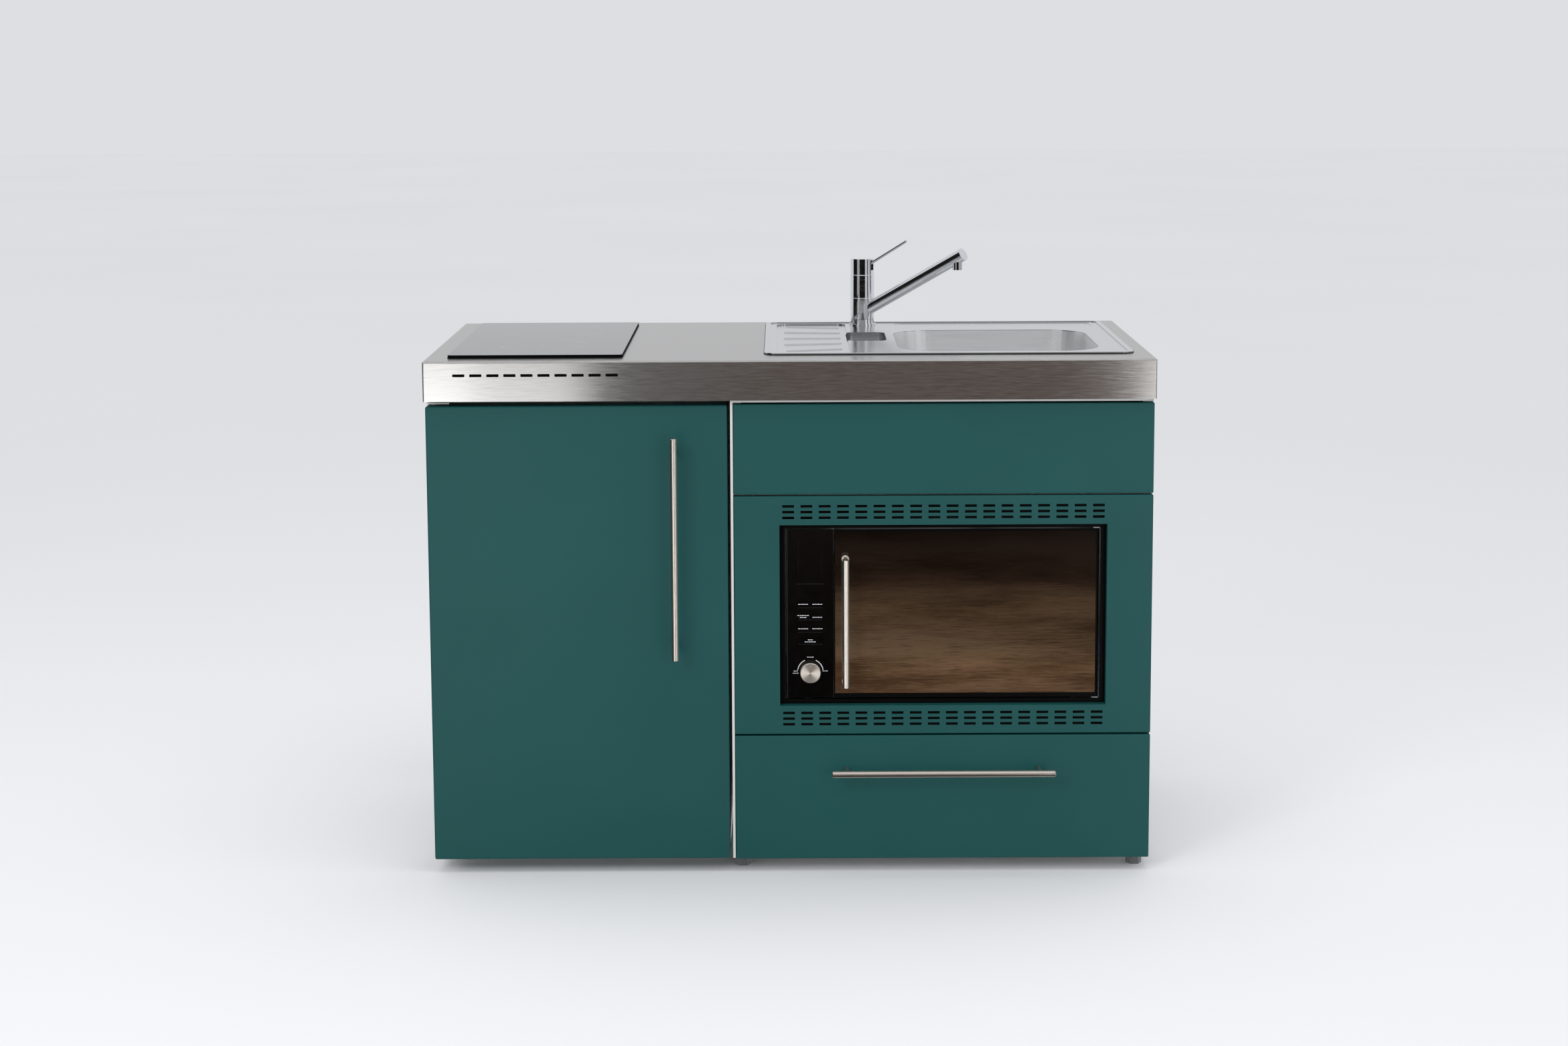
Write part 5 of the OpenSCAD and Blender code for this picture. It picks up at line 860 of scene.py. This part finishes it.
block(bm, tip + Vector((-POINTER_H, -POINTER_HALF_W, -POINTER_L)) * MM,
      tip + Vector((0, POINTER_HALF_W, 0)) * MM)
make_piece("dial_pointer", bm, electrics, "thermostat_dial")

# The gasket's bellows: a softer fold inside the frame that seals
BELLOWS_IN, BELLOWS_W, BELLOWS_DEPTH = 14.6, 3, (61.5, 64.5)
gasket_low, gasket_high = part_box("door_gasket")
bm = bmesh.new()
upright_bead(bm, (gasket_low.x / MM + BELLOWS_IN, gasket_high.x / MM - BELLOWS_IN),
             (gasket_low.z / MM + BELLOWS_IN, gasket_high.z / MM - BELLOWS_IN), BELLOWS_W, 3, BELLOWS_DEPTH)
make_piece("gasket_bellows", bm, gasket_grey, "fridge_door")

# ---------------------------------------------------------------- Drawer

# The screws that hold the box to the drawer's front and to its runners
BOX_T, BOX_DEPTH = 1.2, 27
FRONT_SCREW_IN_X, FRONT_SCREW_IN_Z = 45, 30
RUNNER_Z, RUNNER_SCREW_DEPTHS, RUNNER_SCREW_R = 122.5, (75, 250, 425), 3.5
box_low, box_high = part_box("drawer_box")
box_left, box_right, box_top = box_low.x / MM, box_high.x / MM, box_high.z / MM
bm = bmesh.new()
for x in (box_left + FRONT_SCREW_IN_X, (box_left + box_right) / 2, box_right - FRONT_SCREW_IN_X):
    for z in (box_low.z / MM + FRONT_SCREW_IN_Z, box_top - FRONT_SCREW_IN_Z):
        screw(bm, at(x, BOX_DEPTH + BOX_T, z), TO_BACK)
for depth in RUNNER_SCREW_DEPTHS:
    screw(bm, at(box_left + BOX_T, depth, RUNNER_Z), RIGHT, RUNNER_SCREW_R)
    screw(bm, at(box_right - BOX_T, depth, RUNNER_Z), LEFT, RUNNER_SCREW_R)
make_piece("drawer_screws", bm, zinc, "drawer")

# The rolled upper edge of the box's two sides and its back
ROLL_R, ROLL_FRONT, ROLL_BACK = 1.7, 30, 476
bm = bmesh.new()
for x in (box_left + BOX_T / 2, box_right - BOX_T / 2):
    tube(bm, [at(x, ROLL_FRONT, box_top), at(x, ROLL_BACK, box_top)], ROLL_R)
tube(bm, [at(box_left + 1, ROLL_BACK, box_top), at(box_right - 1, ROLL_BACK, box_top)], ROLL_R)
make_piece("drawer_rolled_edge", bm, drawer_grey, "drawer")

# ---------------------------------------------------------------- Back

# Rubber edging round the service opening
OPENING_X, OPENING_Z = (84.5, 535.5), (446.5, 735.9)
EDGING_W, EDGING_CORNER, EDGING_DEPTH = 4.5, 10, (587, 591.6)
bm = bmesh.new()
upright_bead(bm, OPENING_X, OPENING_Z, EDGING_W, EDGING_CORNER, EDGING_DEPTH)
make_piece("opening_edging", bm, silicone, "unit")

# The screws of the back walls, for each wall its columns, rows, depth and the radius of their heads
BACK_SCREWS = (((-82, 250, 582), (42, 410, 782), 590, 4.5), ((-586, -115), (212, 500, 786), 545, 4))
bm = bmesh.new()
for columns, rows, depth, radius in BACK_SCREWS:
    for x in columns:
        for z in rows:
            screw(bm, at(x, depth, z), TO_BACK, radius)
make_piece("back_screws", bm, zinc, "unit")

# The cooling circuit in painted tube: the hot pipe from the compressor up to the condenser's last run, and
# the liquid line from its first run down to the drier
COIL_DEPTH, FIRST_RUN, LAST_RUN = 571, 240, 738.4
DRIER_X, DRIER_DEPTH, LIQUID_Z, HOT_X, HOT_Z = -576, 545, 165, -126, 80
bm = bmesh.new()
tube(bm, bent_path([at(-314, 509, HOT_Z), at(-280, 543, HOT_Z), at(-240, COIL_DEPTH, HOT_Z),
                    at(HOT_X, COIL_DEPTH, HOT_Z), at(HOT_X, COIL_DEPTH, LAST_RUN),
                    at(HOT_X - 20, COIL_DEPTH, LAST_RUN)], 9), 2.4)
tube(bm, bent_path([at(DRIER_X + 21, COIL_DEPTH, FIRST_RUN), at(DRIER_X, COIL_DEPTH, FIRST_RUN),
                    at(DRIER_X, COIL_DEPTH, LIQUID_Z), at(DRIER_X, DRIER_DEPTH, LIQUID_Z),
                    at(DRIER_X, DRIER_DEPTH, 136)], 9), 2.4)
make_piece("circuit_painted_pipes", bm, dip_black, "unit")

# The rest of it in copper: the drier, the coiled capillary, the suction pipe and the filling stub
DRIER_OUTLINE = [(0, 0), (1.4, 0), (2, 8), (9, 16), (9, 62), (3, 72), (3, 80), (0, 80)]
CAPILLARY_X, CAPILLARY_DEPTH, CAPILLARY_Z, CAPILLARY_R, CAPILLARY_CLIMB = -545, 520, 50, 22, 0.6
bm = bmesh.new()
lathe(bm, DRIER_OUTLINE, at(DRIER_X, DRIER_DEPTH, 60), steps=24)
coil = [at(CAPILLARY_X + CAPILLARY_R * math.cos(t), CAPILLARY_DEPTH + CAPILLARY_R * math.sin(t),
           CAPILLARY_Z + CAPILLARY_CLIMB * t) for t in (math.radians(20 * step) for step in range(3, 57))]
into_coil = [at(DRIER_X, DRIER_DEPTH, 62), at(DRIER_X, DRIER_DEPTH, 54), at(-564, DRIER_DEPTH, 50)]
tube(bm, into_coil + coil + [at(-560, 490, 90), at(-560, 480, 200)], 1.1, 8)
tube(bm, bent_path([at(-398, 440, 70), at(-440, 420, 70), at(-452, 420, 200)], 14), 4)
tube(bm, bent_path([at(-396, 500, 66), at(-428, 522, 66), at(-428, 522, 112)], 10), 3)
make_piece("circuit_copper_pipes", bm, copper, "unit")

# Ribs round the two nuts of the trap, for the hand
RIBS = 18
TRAP_X = 353
RIB_LOW, RIB_HIGH = Vector((24.6, -1.1, 2)) * MM, Vector((26.6, 1.1, 14)) * MM
bm = bmesh.new()
for middle, axis in ((at(TRAP_X, 400, 683), TO_BACK), (at(TRAP_X, 510, 583), UP)):
    for i in range(RIBS):
        rib = block(bm, RIB_LOW, RIB_HIGH, 0.5)
        turn = turn_towards(axis) @ Matrix.Rotation(math.tau * i / RIBS, 4, "Z")
        bmesh.ops.transform(bm, matrix=Matrix.Translation(middle) @ turn, verts=rib)
make_piece("trap_nut_ribs", bm, pipe_white, "unit")

# The aerator's ringed screen, up inside the spout's outlet
OUTLET_X, OUTLET_DEPTH, OUTLET_Z = 299.9, 408.8, 980
RING_PITCH, RING_STEP = 0.9, 0.7
bm = bmesh.new()
steps = [(RING_PITCH * i, RING_STEP * (i % 2)) for i in range(9)]
outline = [(0, -0.8)] + steps + [(RING_PITCH * 8, -0.8), (0, -0.8)]
lathe(bm, outline, at(OUTLET_X, OUTLET_DEPTH, OUTLET_Z), (0, 0, -1), 32)
make_piece("aerator_screen", bm, zinc, "spout")

# ---------------------------------------------------------------- Floor, world and lights

FLOOR_HALF_W = 30
floor_material = common("floor_matt_paint", "#e6e7ea", "#e8e9ec", 0.9, 4, 0, 2500, Specular_IOR_Level=0.0)
floor_mesh = bpy.data.meshes.new("floor")
bm = bmesh.new()
bmesh.ops.create_grid(bm, x_segments=1, y_segments=1, size=FLOOR_HALF_W)
bm.to_mesh(floor_mesh)
bm.free()
floor_mesh.materials.append(floor_material)
floor = bpy.data.objects.new("floor", floor_mesh)
floor.visible_glossy = False
bpy.context.scene.collection.objects.link(floor)

# The studio round the part, which the polished metal mirrors: pale walls behind and beside it, and in front
# a dark room with windows on the left and on the right
world = bpy.data.worlds.new("studio")
world.use_nodes = True
bpy.context.scene.world = world
tree = world.node_tree
tree.nodes.clear()
looking = add(tree, "ShaderNodeTexCoord").outputs["Generated"]
direction = add(tree, "ShaderNodeSeparateXYZ", {"Vector": looking}).outputs
level = direction["Z"]
forth = add(tree, "ShaderNodeMath", {0: direction["Y"], 1: -1.0}, operation="MULTIPLY").outputs["Value"]
bearing = add(tree, "ShaderNodeMath", {0: direction["X"], 1: forth}, operation="ARCTAN2").outputs["Value"]


def grey(level, tint=(1.0, 1.0, 1.0)):
    """An even grey of a brightness, with a tint."""
    return tuple(level * t for t in tint) + (1.0,)


WALL = grey(0.8, (0.985, 0.995, 1.02))
BROWN = (1.65, 0.93, 0.62)
DARK = grey(0.008)
# The gaps past the windows on the right
NEAR_GAP, FAR_GAP = grey(0.03), grey(0.06)
# Each stop's bearing is in degrees, from straight in front: left of it is below nought, right of it above
walls = add(tree, "ShaderNodeValToRGB", {"Fac": spread(tree, bearing, 0, 1, -math.pi, math.pi)})
ramp_stops(walls, [((180 + angle) / 360, colour) for angle, colour in (
    (-180, WALL), (-100, WALL), (-94, DARK), (-54, DARK), (-50, grey(0.48)), (-31, grey(0.38)),
    (-26, DARK), (-3, DARK), (24, DARK), (28, grey(0.75)), (42, grey(0.7)), (47, NEAR_GAP),
    (53, NEAR_GAP), (57, grey(0.6)), (78, grey(0.5)), (81, FAR_GAP), (85, FAR_GAP), (95, WALL))])
# Straight in front the room is dark. Below it a strip of brown floor is lit, grey on its left, which is what
# the apron mirrors. Nearer than that the floor is dark again, where the oven's glass and panel look
facing = spread(tree, forth, 0, 1, 0.84, 0.9)
below = spread(tree, level, 0, 1, -0.105, -0.12)
near = spread(tree, level, 0, 1, -0.15, -0.18)
leftward = spread(tree, bearing, 0, 1, 0, math.radians(-3.6))
lit_floor = blend_colours(tree, leftward, grey(0.37, BROWN), grey(0.8))
floor_strip = blend_colours(tree, near, lit_floor, grey(0.012))
low_front = add(tree, "ShaderNodeMath", {0: below, 1: facing}, operation="MULTIPLY").outputs["Value"]
room = blend_colours(tree, low_front, walls.outputs["Color"], floor_strip)
# Just above eye level there is a grey wall far off, which the bowl's back mirrors
above = spread(tree, level, 0, 1, 0.01, 0.04)
far_wall = add(tree, "ShaderNodeMath", {0: above, 1: facing}, operation="MULTIPLY").outputs["Value"]
room = blend_colours(tree, far_wall, room, grey(0.22))
# All that is in front shines more up there, and the ceiling begins high up
in_front = spread(tree, forth, 0, 1, -0.2, 0.3)
raised = spread(tree, level, 0, 1, -0.02, 0.12)
upper = add(tree, "ShaderNodeMath", {0: raised, 1: in_front}, operation="MULTIPLY").outputs["Value"]
shine = blend_colours(tree, upper, grey(1.0), grey(1.9))
room = add(tree, "ShaderNodeMix", {0: 1.0, 6: room, 7: shine},
           data_type="RGBA", blend_type="MULTIPLY").outputs[2]
high = spread(tree, level, 0, 1, 0.42, 0.56)
ceiling = add(tree, "ShaderNodeMath", {0: high, 1: in_front}, operation="MULTIPLY").outputs["Value"]
lit = blend_colours(tree, ceiling, room, grey(1.05))
# Only glossy rays see that room. All other rays meet an even pale grey, and so does the camera
ray = add(tree, "ShaderNodeLightPath")
plain = blend_colours(tree, ray.outputs["Is Camera Ray"], grey(0.9), "#dedfe3")
seen = blend_colours(tree, ray.outputs["Is Glossy Ray"], plain, lit)
background = add(tree, "ShaderNodeBackground", {"Color": seen, "Strength": 1.0})
add(tree, "ShaderNodeOutputWorld", {"Surface": background.outputs["Background"]})


def softbox(name, place, target, size, power, mirrored=False):
    """A soft light of a width and height, at a place and turned to its target."""
    data = bpy.data.lights.new(name, "AREA")
    data.shape = "RECTANGLE"
    data.size, data.size_y = size
    data.energy = power
    lamp = bpy.data.objects.new(name, data)
    lamp.location = place
    lamp.rotation_euler = (Vector(target) - Vector(place)).to_track_quat("-Z", "Y").to_euler()
    bpy.context.scene.collection.objects.link(lamp)
    lamp.visible_camera = False
    lamp.visible_glossy = mirrored
    return lamp


# A large soft light high on the left, a low one on the right that fills the lower fronts, and one overhead
softbox("key_light", (-2.2, -3.6, 2.5), (0, 0, 0.45), (1.4, 1.4), 42)
softbox("low_fill", (1.3, -3.0, 0.55), (0.25, 0, 0.3), (1.4, 0.9), 9)
softbox("top_light", (0.3, -0.3, 2.5), (0.2, 0, 0.8), (1.6, 1.6), 12)
# Low screens in front that only the polished metal mirrors. The left one's inner edge stands where the
# apron turns from bright to dark, its outer part is brighter, and the right one lights the apron's far end.
# Their tops stay below what the tap mirrors
SCREEN_Y, SCREEN_H = -2.3, 1.2
for name, x_low, x_high, brightness in (("left_screen_inner", -0.76, -0.48, 7.6),
                                        ("left_screen_outer", -1.2, -0.76, 12.4),
                                        ("right_screen", 0.88, 1.4, 10.0)):
    x, width = (x_low + x_high) / 2, x_high - x_low
    screen = softbox(name, (x, SCREEN_Y, 0.0), (x, 0, 0), (width, SCREEN_H),
                     brightness * width * SCREEN_H, mirrored=True)
    screen.visible_diffuse = False
bpy.context.scene.view_settings.view_transform = "Standard"
